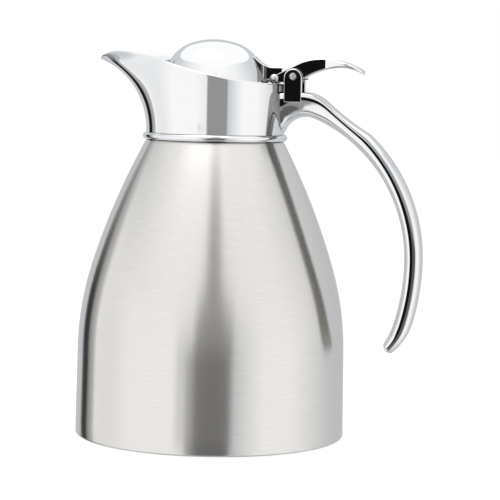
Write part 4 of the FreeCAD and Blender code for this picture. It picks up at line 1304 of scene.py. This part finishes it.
    def arm(self) -> Piece:
        """The arm, from its root on the collar to its free end.

        Returns:
            The closed arm.
        """
        outer, inner = self.outlines()
        loops = []
        for index, (high, low) in enumerate(zip(outer, inner)):
            ended = max(self.end_steps - (len(outer) - 1 - index), 0) / (self.end_steps + 1)
            narrowing = self.end_narrowing * (1 - math.sqrt(1 - ended ** 2))
            ease = eased((index - self.root_steps) / self.ease_steps)
            width = self.root_half + (self.half_width - self.root_half) * ease - narrowing
            share = self.root_share + (0.5 - self.root_share) * ease
            loops.append(self.section(high, low, width, share, index == 0))
        piece = loft("handle_arm", loops)
        tidy_faces(piece, angle=50.0)
        return piece

    def ear(self, side: Side) -> Piece:
        """One hinge ear with its round top and its bore.

        Args:
            side: Side of the hinge.

        Returns:
            The bored ear.
        """
        low = self.root_top - self.ear_depth
        middle = self.ear_middle[0]
        outline = [(middle - self.ear_half, low), (middle + self.ear_half, low)]
        outline += sweep(self.ear_middle, self.ear_half, 0, 180, steps=20)
        return HINGE.bored(plate(f"hinge_ear_{side.name.lower()}", outline, side.value * self.ear_inner,
                                 side.value * self.half_width, self.ear_edge))

    def build(self, wardrobe: Wardrobe) -> None:
        """Model the arm and the ears.

        Args:
            wardrobe: Finishes.
        """
        wardrobe.dress(self.arm(), Slot.BRIGHT_CHROME, Body.POT, "handle")
        for side in Side:
            wardrobe.dress(self.ear(side), Slot.BRIGHT_CHROME, Body.POT)


@dataclass
class LidCover:
    """The bright dome with the tail that runs back to the pivot."""

    top: float = 200.0
    crown_hole: float = 0.2
    low: float = 178.6
    wall: float = 1.2
    crown: Point = (12.0, 197.941)
    crown_curve: float = 36.0
    flank: Point = (23.001, 187.953)
    flank_curve: float = 19.2
    foot: float = 27.363
    foot_edge: Point = (0.1, 0.3)
    foot_top: Point = (0.25, 0.6)
    tail_top: float = 186.8
    tail_half: float = 4.4
    tail_edge: float = 0.55
    tail_stations: tuple[float, ...] = (
        17.0, 18.5, 20.0, 21.0, 22.0, 23.0, 23.8, 24.6, 25.4, 26.2, 27.0, 28.0, 29.0, 30.0, 31.0, 32.0, 33.0,
        34.0, 34.8, 35.0)
    flare: float = 0.7
    flare_start: float = 24.0
    flare_fade: float = 0.6
    blend_start: Point = (19.5, 192.2)
    blend_end: Point = (28.5, 186.8)
    blend_curve: float = 13.3
    eye_back: float = 33.5
    eye_sink: float = 0.05
    eye_far: float = -0.5
    eye_edge: float = 0.45
    segments: int = 160

    def dome(self) -> Piece:
        """The bell-shaped cover, closed at its crown.

        Returns:
            The cover with its thickness.
        """
        profile = [(self.foot, self.low), (self.foot - self.foot_edge[0], self.low + self.foot_edge[1])]
        profile += along([(self.foot - self.foot_top[0], self.low + self.foot_top[1]), self.flank], steps=8)
        profile += arc(self.flank, self.crown, self.flank_curve, Turn.LEFT, steps=16)[1:]
        profile += arc(self.crown, (self.crown_hole, self.top), self.crown_curve, Turn.LEFT, steps=14)[1:]
        piece = turned("lid_cover", profile, self.segments, LID_AXIS)
        # The last ring is still selected, and it closes to a point.
        bpy.ops.object.mode_set(mode="EDIT")
        bpy.ops.mesh.merge(type="CENTER")
        bpy.ops.object.mode_set(mode="OBJECT")
        tidy_faces(piece)
        apply_modifier(piece, "SOLIDIFY", thickness=self.wall * MM, offset=-1.0)
        smooth(piece)
        return piece

    def tail_height(self, across: float) -> float:
        """Height of the tail's top line.

        Args:
            across: X in millimetres.

        Returns:
            The height in millimetres.
        """
        if across <= self.blend_start[0]:
            return self.blend_start[1]
        line = arc(self.blend_end, self.blend_start, self.blend_curve, Turn.RIGHT, steps=24)
        for (x_right, z_right), (x_left, z_left) in zip(line, line[1:]):
            if x_left <= across <= x_right:
                return z_left + (z_right - z_left) * (across - x_left) / (x_right - x_left)
        return self.tail_top

    def tail(self) -> Piece:
        """The tail, which widens where it runs into the dome.

        Returns:
            The closed tail.
        """
        loops = []
        for across in self.tail_stations:
            flare = self.flare * math.exp(-max(across - self.flare_start, 0.0) / self.flare_fade)
            loops.append(rounded_bar(across, self.tail_half + flare, HINGE.hub_low, self.tail_height(across),
                                     self.tail_edge))
        piece = loft("lid_tail", loops)
        tidy_faces(piece)
        flatten_shading(piece)
        return piece

    def tail_eye(self) -> Piece:
        """The eye at the end of the tail, bored for the barrel.

        Returns:
            The bored eye.
        """
        outline = [(self.eye_back, HINGE.hub_low + self.eye_sink), *HINGE.hub_round(90, steps=22),
                   (self.eye_back, self.tail_top - self.eye_sink)]
        return HINGE.bored(plate("lid_tail_eye", outline, -self.tail_half, self.eye_far, self.eye_edge))

    def build(self, wardrobe: Wardrobe) -> None:
        """Model the dome, the tail and the eye.

        Args:
            wardrobe: Finishes.
        """
        wardrobe.dress(self.dome(), Slot.BRIGHT_CHROME, Body.LID, "lid_dome")
        wardrobe.dress(self.tail(), Slot.BRIGHT_CHROME, Body.LID)
        wardrobe.dress(self.tail_eye(), Slot.BRIGHT_CHROME, Body.LID)


@dataclass
class ThumbLever:
    """The lever with its thumb leaf and the two cheeks of its fork."""

    cheek_in: float = 4.5
    cheek_out: float = 5.9
    cheek_edge: float = 0.35
    cheek_end: float = 46.2
    cheek_sink: float = 0.1
    cheek_stations: tuple[float, ...] = (46.2, 45.2, 44.3, 43.5)
    nose: Point = (30.2, 180.8)
    nose_radius: float = 1.6
    heel_turn: float = -20.0
    arch: Point = (63.5, 187.1)
    top: Point = (54.0, 191.4)
    tip: Point = (74.9, 185.7)
    tip_depth: float = 1.5
    tip_power: float = 2.6
    tip_half: float = 0.24
    neck_curve: float = 28.0
    leaf_start: float = 55.0
    leaf_reach: float = 63.5
    leaf_half: float = 8.0
    leaf_steps: int = 44
    leaf_crowding: float = 1.6
    swell_run: float = 6.0
    edge_least: float = 0.5
    edge_depth: Span = (0.42, 0.06)
    edge_share: float = 0.45
    fork_end: float = 44.6

    def top_line(self, across: float) -> float:
        """Height of the lever's top line.

        Args:
            across: X in millimetres.

        Returns:
            The height in millimetres.
        """
        curve = self.neck_curve
        if across > self.top[0]:
            curve = curve_radius(self.tip[0] - self.top[0], self.top[1] - self.tip[1])
        return self.top[1] - curve + math.sqrt(curve ** 2 - (across - self.top[0]) ** 2)

    def under_line(self, across: float) -> float:
        """Height of the lever's under line.

        Args:
            across: X in millimetres.

        Returns:
            The height in millimetres.
        """
        if across <= self.arch[0]:
            heel = polar(HINGE.pivot, HINGE.hub, self.heel_turn)
            curve = curve_radius(self.arch[0] - heel[0], self.arch[1] - heel[1])
        else:
            curve = curve_radius(self.tip[0] - self.tip_depth / 2 - self.arch[0],
                                 self.arch[1] - self.tip[1] + self.tip_depth)
        return self.arch[1] - curve + math.sqrt(max(curve ** 2 - (across - self.arch[0]) ** 2, 0.0))

    def half_width(self, across: float) -> float:
        """Half of the lever's width.

        Args:
            across: X in millimetres.

        Returns:
            Half of the width in millimetres.
        """
        if across <= self.leaf_reach:
            share = eased((across - self.leaf_start) / (self.leaf_reach - self.leaf_start))
            return self.cheek_out + (self.leaf_half - self.cheek_out) * share
        share = (across - self.leaf_reach) / (self.tip[0] - self.leaf_reach)
        shrink = (self.leaf_half - self.tip_half) * math.sqrt(max(1 - share ** self.tip_power, 0.0))
        return shrink + self.tip_half

    def leaf(self) -> Piece:
        """The thumb leaf, from the fork to the tip, with edges that soften along it.

        Returns:
            The closed leaf.
        """
        loops = []
        for step in range(self.leaf_steps + 1):
            share = 1 - (1 - step / self.leaf_steps) ** self.leaf_crowding
            across = self.fork_end + (self.tip[0] - self.fork_end) * share
            half, top, low = self.half_width(across), self.top_line(across), self.under_line(across)
            swell = min(max((across - self.leaf_start) / self.swell_run, 0.0), 1.0)
            deepest = (top - low) * (self.edge_depth[0] + self.edge_depth[1] * swell)
            edge = min(self.edge_least + swell, deepest, half * self.edge_share)
            loops.append(rounded_bar(across, half, low, top, edge))
        piece = loft("lever_leaf", loops)
        tidy_faces(piece)
        flatten_shading(piece)
        return piece

    def cheek(self, side: Side) -> Piece:
        """One cheek of the fork, bored for the barrel.

        Args:
            side: Side of the hinge.

        Returns:
            The bored cheek.
        """
        neck = self.cheek_stations[-1]
        run, rise = neck - self.nose[0], self.top_line(neck) - self.nose[1]
        lean = math.degrees(math.atan2(rise, run) - math.asin(self.nose_radius / math.hypot(run, rise)))
        outline = HINGE.hub_round(self.heel_turn, steps=16)
        outline += [(self.cheek_end, self.under_line(self.cheek_end) + self.cheek_sink)]
        outline += [(across, self.top_line(across) - self.cheek_sink) for across in self.cheek_stations]
        outline += sweep(self.nose, self.nose_radius, 90 + lean, 270, steps=10)
        return HINGE.bored(plate(f"lever_cheek_{side.name.lower()}", outline, side.value * self.cheek_in,
                                 side.value * self.cheek_out, self.cheek_edge))

    def build(self, wardrobe: Wardrobe) -> None:
        """Model the leaf and the cheeks.

        Args:
            wardrobe: Finishes.
        """
        wardrobe.dress(self.leaf(), Slot.BRIGHT_CHROME, Body.LID, "thumb_lever")
        for side in Side:
            wardrobe.dress(self.cheek(side), Slot.BRIGHT_CHROME, Body.LID)


@dataclass
class HingeHardware:
    """The hinge screw with its head, and the spring in two pieces."""

    screw_face: float = -8.75
    screw_seat: float = -7.8
    screw_head: float = 1.8
    head_rise: float = 0.62
    head_dome: Points = ((0.9, 0.2), (0.86, 0.12), (0.8, 0.06))
    recess_length: float = 2.1
    recess_width: float = 0.42
    recess_depth: float = 0.9
    shank: float = 1.0
    shank_end: float = 2.2
    shank_sides: int = 32
    wire: float = 0.65
    wire_sides: int = 12
    coil: float = 2.75
    coils: int = 3
    coil_steps: int = 36
    pitch: float = 0.82
    turn_gap: float = 0.09
    foot_bend: float = 1.6
    bend_steps: int = 10
    foot_turn: float = -40.0
    spring_start: float = 0.4
    lever_turn: float = 15.0
    lever_leg: float = 6.2
    leg_steps: int = 6
    floor_turn: float = 75.0
    floor_height: float = 175.325

    def screw(self) -> Piece:
        """The sunk screw with a domed head and a cross recess.

        Returns:
            The head and the shank as one piece.
        """
        x, z = HINGE.pivot[0] * MM, HINGE.pivot[1] * MM
        face, seat, end = self.screw_face * MM, self.screw_seat * MM, self.shank_end * MM
        clear_selection()
        bpy.ops.mesh.primitive_circle_add(vertices=HINGE.sides, radius=self.screw_head * MM, fill_type="NGON",
                                          location=(x, seat, z), rotation=ACROSS)
        head = just_added("hinge_screw_head")
        with editing(head):
            for share, lift in ((1.0, self.head_rise), *self.head_dome):
                push = (0.0, (face - seat) * lift, 0.0)
                bpy.ops.mesh.extrude_region_move(TRANSFORM_OT_translate={"value": push})
                bpy.ops.transform.resize(value=(share, 1.0, share), center_override=(x, face, z))
        tidy_faces(head, angle=30.0)
        long, short = self.recess_length, self.recess_width
        for width, height in ((long, short), (short, long)):
            clear_selection()
            bpy.ops.mesh.primitive_cube_add(size=MM, location=(x, face, z),
                                            scale=(width, self.recess_depth, height))
            cut_away(head, just_added("recess"))
        clear_selection()
        bpy.ops.mesh.primitive_cylinder_add(vertices=self.shank_sides, radius=self.shank * MM,
                                            depth=end - seat, location=(x, (end + seat) / 2, z),
                                            rotation=ACROSS)
        just_added("screw_shank")
        head.select_set(True)
        bpy.context.view_layer.objects.active = head
        bpy.ops.object.join()
        smooth(head, angle=30.0)
        return head

    def coil_point(self, turn: float, along_pin: float) -> Vector:
        """Place on the spring's coil at a turn in radians and a distance along the pin."""
        x, z = polar(HINGE.pivot, self.coil, math.degrees(turn))
        return Vector((x, along_pin, z))

    @property
    def coil_ends(self) -> Span:
        """Turns in radians at which the coil starts and ends."""
        last = math.radians(90 - self.floor_turn) - 2 * math.pi * self.coils
        return math.radians(self.lever_turn - 90), last

    @property
    def slope(self) -> float:
        """Advance along the pin for each radian of the coil."""
        return self.pitch / (2 * math.pi)

    def wire_tube(self, name: str, points: list[Vector]) -> Piece:
        """Draw round wire along a row of points.

        Args:
            name: Name of the piece.
            points: Middle line of the wire in millimetres.

        Returns:
            The closed tube.
        """
        loops = []
        for index, point in enumerate(points):
            before, after = points[max(index - 1, 0)], points[min(index + 1, len(points) - 1)]
            way = (after - before).normalized()
            side = way.cross(Vector((0, 1, 0))).normalized()
            up = side.cross(way)
            ring = sweep((0.0, 0.0), self.wire / 2, 0, 360, self.wire_sides)[:-1]
            loops.append([tuple(point + side * across + up * rise) for across, rise in ring])
        piece = loft(name, loops)
        tidy_faces(piece, angle=50.0)
        return piece

    def spring(self) -> Piece:
        """The torsion spring's coil and the straight leg under the lever.

        Returns:
            The closed wire.
        """
        first, last = self.coil_ends
        start = self.coil_point(first, self.spring_start)
        way = Vector((self.coil * math.sin(first), self.slope, -self.coil * math.cos(first))).normalized()
        points = [start - way * self.lever_leg * step / self.leg_steps
                  for step in range(self.leg_steps, 0, -1)]
        steps = self.coil_steps * self.coils
        for step in range(steps + 1):
            turn = first + (last - first) * step / steps
            points.append(self.coil_point(turn, self.spring_start + (first - turn) * self.slope))
        return self.wire_tube("closing_spring", points)

    def spring_foot(self) -> Piece:
        """The spring's last bend and the leg that stays on the handle's root.

        Returns:
            The closed wire.
        """
        first, last = self.coil_ends
        along_pin = self.spring_start + (first - last) * self.slope + self.wire + self.turn_gap
        leave = math.radians(self.foot_turn)
        points = [self.coil_point(leave + self.foot_bend * (1 - step / self.bend_steps), along_pin)
                  for step in range(self.bend_steps + 1)]
        end = points[-1]
        way = Vector((math.sin(leave), 0.0, -math.cos(leave)))
        drop = (end.z - self.floor_height) / -way.z
        points += [end + way * drop * step / self.leg_steps for step in range(1, self.leg_steps + 1)]
        return self.wire_tube("spring_foot", points)

    def build(self, wardrobe: Wardrobe) -> None:
        """Model the screw and the spring.

        Args:
            wardrobe: Finishes.
        """
        wardrobe.dress(self.screw(), Slot.SCREW_STEEL, Body.POT, "hinge_screw")
        wardrobe.dress(self.spring(), Slot.SPRING_STEEL, Body.LID, "hinge_spring")
        wardrobe.dress(self.spring_foot(), Slot.SPRING_STEEL, Body.POT)


@dataclass
class SoftParts:
    """The stopper's seal, the ring under the collar's floor and the foam inside the plug."""

    seal_profile: Points = (
        (20.4, 174.6), (22.8, 174.6), (23.05, 174.3), (23.15, 172.8), (23.35, 172.62), (24.7, 172.62),
        (24.95, 172.8), (25.15, 174.6), (25.2, 176.2), (24.9, 176.58), (20.4, 176.58))
    ring_inner: float = 23.5
    ring_edge: float = 0.3
    ring_sides: int = 128
    core_foot: float = 16.9
    core_step: float = 0.5
    core_chamfer: float = 0.2
    core_gap: float = 0.1
    core_hub: float = 1.0
    core_edge: float = 0.8
    core_sides: int = 96
    corner: float = 0.3
    groove: float = 0.5

    @staticmethod
    def reach(node: str, axis: float) -> Place:
        """Read the widest radius, the underside and the top of a turned node in millimetres."""
        low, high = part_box(node)
        return high[0] / MM - axis, low[2] / MM, high[2] / MM

    def seal_ring(self) -> Piece:
        """The stopper's soft ring with its sealing lip."""
        return closed_turning("seal_ring", list(self.seal_profile), self.ring_sides, LID_AXIS)

    def mouth_ring(self) -> Piece:
        """The flat ring with rounded edges and a groove in each rim.

        Returns:
            The closed ring.
        """
        outer, low, top = self.reach("mouth_gasket", 0.0)
        edge, corner = self.ring_edge, self.corner * self.ring_edge
        depths = [(edge, low), (corner, low + corner), (0.0, low + edge),
                  (self.groove * edge, (low + top) / 2), (0.0, top - edge), (corner, top - corner),
                  (edge, top)]
        profile = [(outer - depth, height) for depth, height in depths]
        profile += [(self.ring_inner + depth, height) for depth, height in reversed(depths)]
        return closed_turning("mouth_ring", profile, self.ring_sides)

    def foam_core(self) -> Piece:
        """The foam block with softened edges.

        Returns:
            The closed block.
        """
        wide, low, top = self.reach("stopper_core", LID_AXIS)
        edge, corner = self.core_edge, self.corner * self.core_edge
        side = wide - self.core_gap
        profile = [(self.core_hub, low), (self.core_foot - edge, low),
                   (self.core_foot - corner, low + self.core_chamfer), (self.core_foot, low + self.core_step),
                   (side, top - edge), (side - corner, top - corner), (wide - edge, top),
                   (self.core_hub, top)]
        piece = turned("foam_core", profile, self.core_sides, LID_AXIS)
        close_holes(piece)
        tidy_faces(piece)
        return piece

    def build(self, wardrobe: Wardrobe) -> None:
        """Model the three pieces.

        Args:
            wardrobe: Finishes.
        """
        wardrobe.dress(self.seal_ring(), Slot.SILICONE, Body.LID, "stopper_gasket")
        wardrobe.dress(self.mouth_ring(), Slot.SILICONE, Body.POT, "mouth_gasket")
        wardrobe.dress(self.foam_core(), Slot.PALE_FOAM, Body.LID, "stopper_core")


@dataclass
class Studio:
    """The white studio: camera, floor, lamp and the panels that the metal mirrors.

    Panels are bearings from the camera in degrees with their brightness. Bands are the heights on a unit
    sphere between which one row of panels gives way to the next.
    """

    distance: float = 1.009
    height: float = 0.18137
    bearing: float = 10.0
    aim_side: float = 0.01884
    aim_height: float = 0.09429
    roll: float = 1.277
    lens: float = 144.0
    sensor: float = 36.0
    left_panels: Points = (
        (-180, 0.56), (-150, 0.60), (-145, 0.70), (-143.5, 0.012), (-130.5, 0.012), (-129, 0.34),
        (-119, 0.50), (-116.5, 1.0), (-111, 0.88), (-95, 0.86), (-72, 1.0), (-34, 1.0))
    right_panels: Points = (
        (20, 0.62), (34, 0.84), (46, 1.0), (72, 1.0), (95, 0.84), (120, 0.66), (150, 0.58), (180, 0.56))
    level_gap: Points = ((-15, 0.90), (-13.4, 0.31), (18.4, 0.31))
    patch_gap: Points = ((-29.5, 0.90), (-28.5, 0.006), (-13.6, 0.006), (-12.6, 0.10), (17, 0.10))
    low_gap: Points = ((-22, 0.90), (-20, 0.32), (-14.5, 0.28), (-13, 0.12), (15.5, 0.12), (16.5, 0.40))
    high_panels: Points = (
        (-180, 0.62), (-150, 0.66), (-142, 0.70), (-140.5, 0.26), (-133, 0.26), (-131, 0.42), (-120, 0.50),
        (-117.5, 0.92), (-60, 0.96), (-15, 0.96), (-9, 0.34), (9, 0.34), (24, 0.96), (60, 0.96), (100, 0.84),
        (130, 0.68), (180, 0.62))
    ceiling: Points = (
        (-180, 0.62), (-115, 0.68), (-60, 0.95), (-9, 0.95), (-2, 0.36), (5, 0.36), (14, 0.95), (60, 0.95),
        (115, 0.68), (180, 0.62))
    patch_band: Span = (-0.030, -0.035)
    low_band: Span = (-0.125, -0.145)
    ground_band: Span = (-0.60, -0.86)
    high_band: Span = (0.12, 0.24)
    ceiling_band: Span = (0.30, 0.42)
    ground_tone: Tone = (0.50, 0.52, 0.55)
    canopy_tone: Tone = (1.05, 1.05, 1.05)
    canopy_band: Span = (0.635, 0.65)
    canopy_tilt: float = 10.0
    floor_size: float = 8.0
    floor_paint: Tone = (0.9, 0.9, 0.9)
    floor_glow: float = 1.12
    glow_share: float = 0.8
    lamp_size: float = 0.9
    lamp_energy: float = 3.0
    lamp_place: Place = (-0.15, -0.25, 1.2)
    lamp_lean: Span = (-12.0, -7.0)

    def camera(self) -> None:
        """Set up the camera at the place that the outline was fitted from."""
        turn = math.radians(self.bearing)
        place = Vector((self.distance * math.sin(turn), -self.distance * math.cos(turn), self.height))
        aim = Vector((self.aim_side * math.cos(turn), self.aim_side * math.sin(turn), self.aim_height))
        data = bpy.data.cameras.new("studio_camera")
        data.lens = self.lens
        data.sensor_width = self.sensor
        camera = placed("studio_camera", data)
        camera.rotation_mode = "QUATERNION"
        look = (aim - place).to_track_quat("-Z", "Y")
        camera.rotation_quaternion = look @ Quaternion((0, 0, 1), math.radians(self.roll))
        camera.location = place
        bpy.context.scene.camera = camera

    def floor(self) -> None:
        """Lay a white floor that keeps a faint shadow and doesn't show in the metal."""
        clear_selection()
        bpy.ops.mesh.primitive_plane_add(size=self.floor_size)
        floor = just_added("studio_floor")
        material = bpy.data.materials.new("studio_white")
        material.use_nodes = True
        wiring = Wiring(material.node_tree)
        leave = wiring.add("ShaderNodeOutputMaterial")
        path = wiring.add("ShaderNodeLightPath").outputs
        paint = wiring.add("ShaderNodeBsdfDiffuse", Color=(*self.floor_paint, 1.0))
        glow = wiring.add("ShaderNodeEmission", Strength=self.floor_glow)
        clear = wiring.add("ShaderNodeBsdfTransparent")
        lit = wiring.shader_mix(wiring.maths("MULTIPLY", path["Is Camera Ray"], self.glow_share), paint, glow)
        mirrored = wiring.maths("MAXIMUM", path["Is Glossy Ray"], path["Is Transmission Ray"])
        wiring.link(wiring.shader_mix(mirrored, lit, clear).outputs[0], leave.inputs["Surface"])
        floor.data.materials.append(material)

    def world(self) -> None:
        """Surround the metal with white panels and the dark gaps between them."""
        world = bpy.data.worlds.new("white_studio")
        bpy.context.scene.world = world
        world.use_nodes = True
        wiring = Wiring(world.node_tree)
        leave = wiring.add("ShaderNodeOutputWorld")
        path = wiring.add("ShaderNodeLightPath")
        place = wiring.add("ShaderNodeTexCoord").outputs["Generated"]
        split = wiring.add("ShaderNodeSeparateXYZ")
        wiring.link(place, split.inputs[0])
        angle = wiring.maths("ARCTAN2", split.outputs["Y"], split.outputs["X"])
        share = wiring.maths("ADD", wiring.maths("DIVIDE", angle, 2 * math.pi), (270 - self.bearing) / 360)
        bearing = wiring.maths("FRACT", share)
        level, patch, low = (self.ramp(wiring, bearing, self.left_panels + gap + self.right_panels)
                             for gap in (self.level_gap, self.patch_gap, self.low_gap))
        high, ceiling = (self.ramp(wiring, bearing, panels) for panels in (self.high_panels, self.ceiling))
        shade = level
        for band, layer in ((self.patch_band, patch), (self.low_band, low),
                            (self.ground_band, (*self.ground_tone, 1.0)), (self.high_band, high),
                            (self.ceiling_band, ceiling)):
            shade = wiring.mixed(wiring.remap(split.outputs["Z"], band, (0.0, 1.0)), shade, layer)
        lean, turn = math.radians(self.canopy_tilt), math.radians(self.bearing)
        facing = wiring.add("ShaderNodeVectorMath", operation="DOT_PRODUCT")
        facing.inputs[1].default_value = (-math.sin(turn) * math.sin(lean), math.cos(turn) * math.sin(lean),
                                          math.cos(lean))
        wiring.link(place, facing.inputs[0])
        covered = wiring.remap(facing.outputs["Value"], self.canopy_band, (0.0, 1.0))
        shade = wiring.mixed(covered, shade, (*self.canopy_tone, 1.0))
        mirrored = wiring.add("ShaderNodeBackground")
        wiring.link(shade, mirrored.inputs["Color"])
        white = wiring.add("ShaderNodeBackground", Color=(1.0, 1.0, 1.0, 1.0))
        seen = wiring.shader_mix(path.outputs["Is Camera Ray"], mirrored, white)
        wiring.link(seen.outputs[0], leave.inputs["Surface"])

    @staticmethod
    def ramp(wiring: Wiring, share: Socket, panels: Points) -> Socket:
        """Paint panels round the horizon, the half-bright ones slightly blue.

        Args:
            wiring: Tree to work in.
            share: Bearing from the camera as a share of a turn.
            panels: Bearings in degrees and their brightness, from -180 to 180.

        Returns:
            The colour socket.
        """
        ramp = wiring.add("ShaderNodeValToRGB")
        wiring.link(share, ramp.inputs[0])
        stops = ramp.color_ramp.elements
        for index, (bearing, bright) in enumerate(panels):
            spot = (bearing + 180) / 360
            if index == 0:
                stop = stops[0]
            elif index == len(panels) - 1:
                stop = stops[len(stops) - 1]
            else:
                stop = stops.new(spot)
            stop.position = spot
            cool = PANEL_COOLNESS * (1.0 - bright) if bright > PANEL_DARK else 0.0
            stop.color = (*(bright + shift * cool for shift in PANEL_SHIFT), 1.0)
        return ramp.outputs[0]

    def lamp(self) -> None:
        """Hang one broad soft lamp over the object."""
        data = bpy.data.lights.new("overhead_panel", "AREA")
        data.shape = "DISK"
        data.size = self.lamp_size
        data.energy = self.lamp_energy
        lamp = placed("overhead_panel", data)
        lamp.location = self.lamp_place
        lamp.rotation_euler = (*(math.radians(lean) for lean in self.lamp_lean), 0.0)

    def build(self) -> None:
        """Set up the whole studio."""
        bpy.context.scene.view_settings.view_transform = "Standard"
        self.camera()
        self.floor()
        self.world()
        self.lamp()


def main() -> None:
    """Build and dress every piece in order, then set up the studio."""
    logging.basicConfig(level=logging.INFO, format="%(name)s: %(message)s")
    wardrobe = Wardrobe()
    wardrobe.dress_solids()
    builders: list[Callable[[Wardrobe], None]] = [
        Vessel().build,
        PouringCollar().build,
        Handle().build,
        LidCover().build,
        ThumbLever().build,
        HingeHardware().build,
        SoftParts().build,
    ]
    for build in builders:
        build(wardrobe)
    Studio().build()
    clear_selection()


if __name__ == "__main__":
    main()
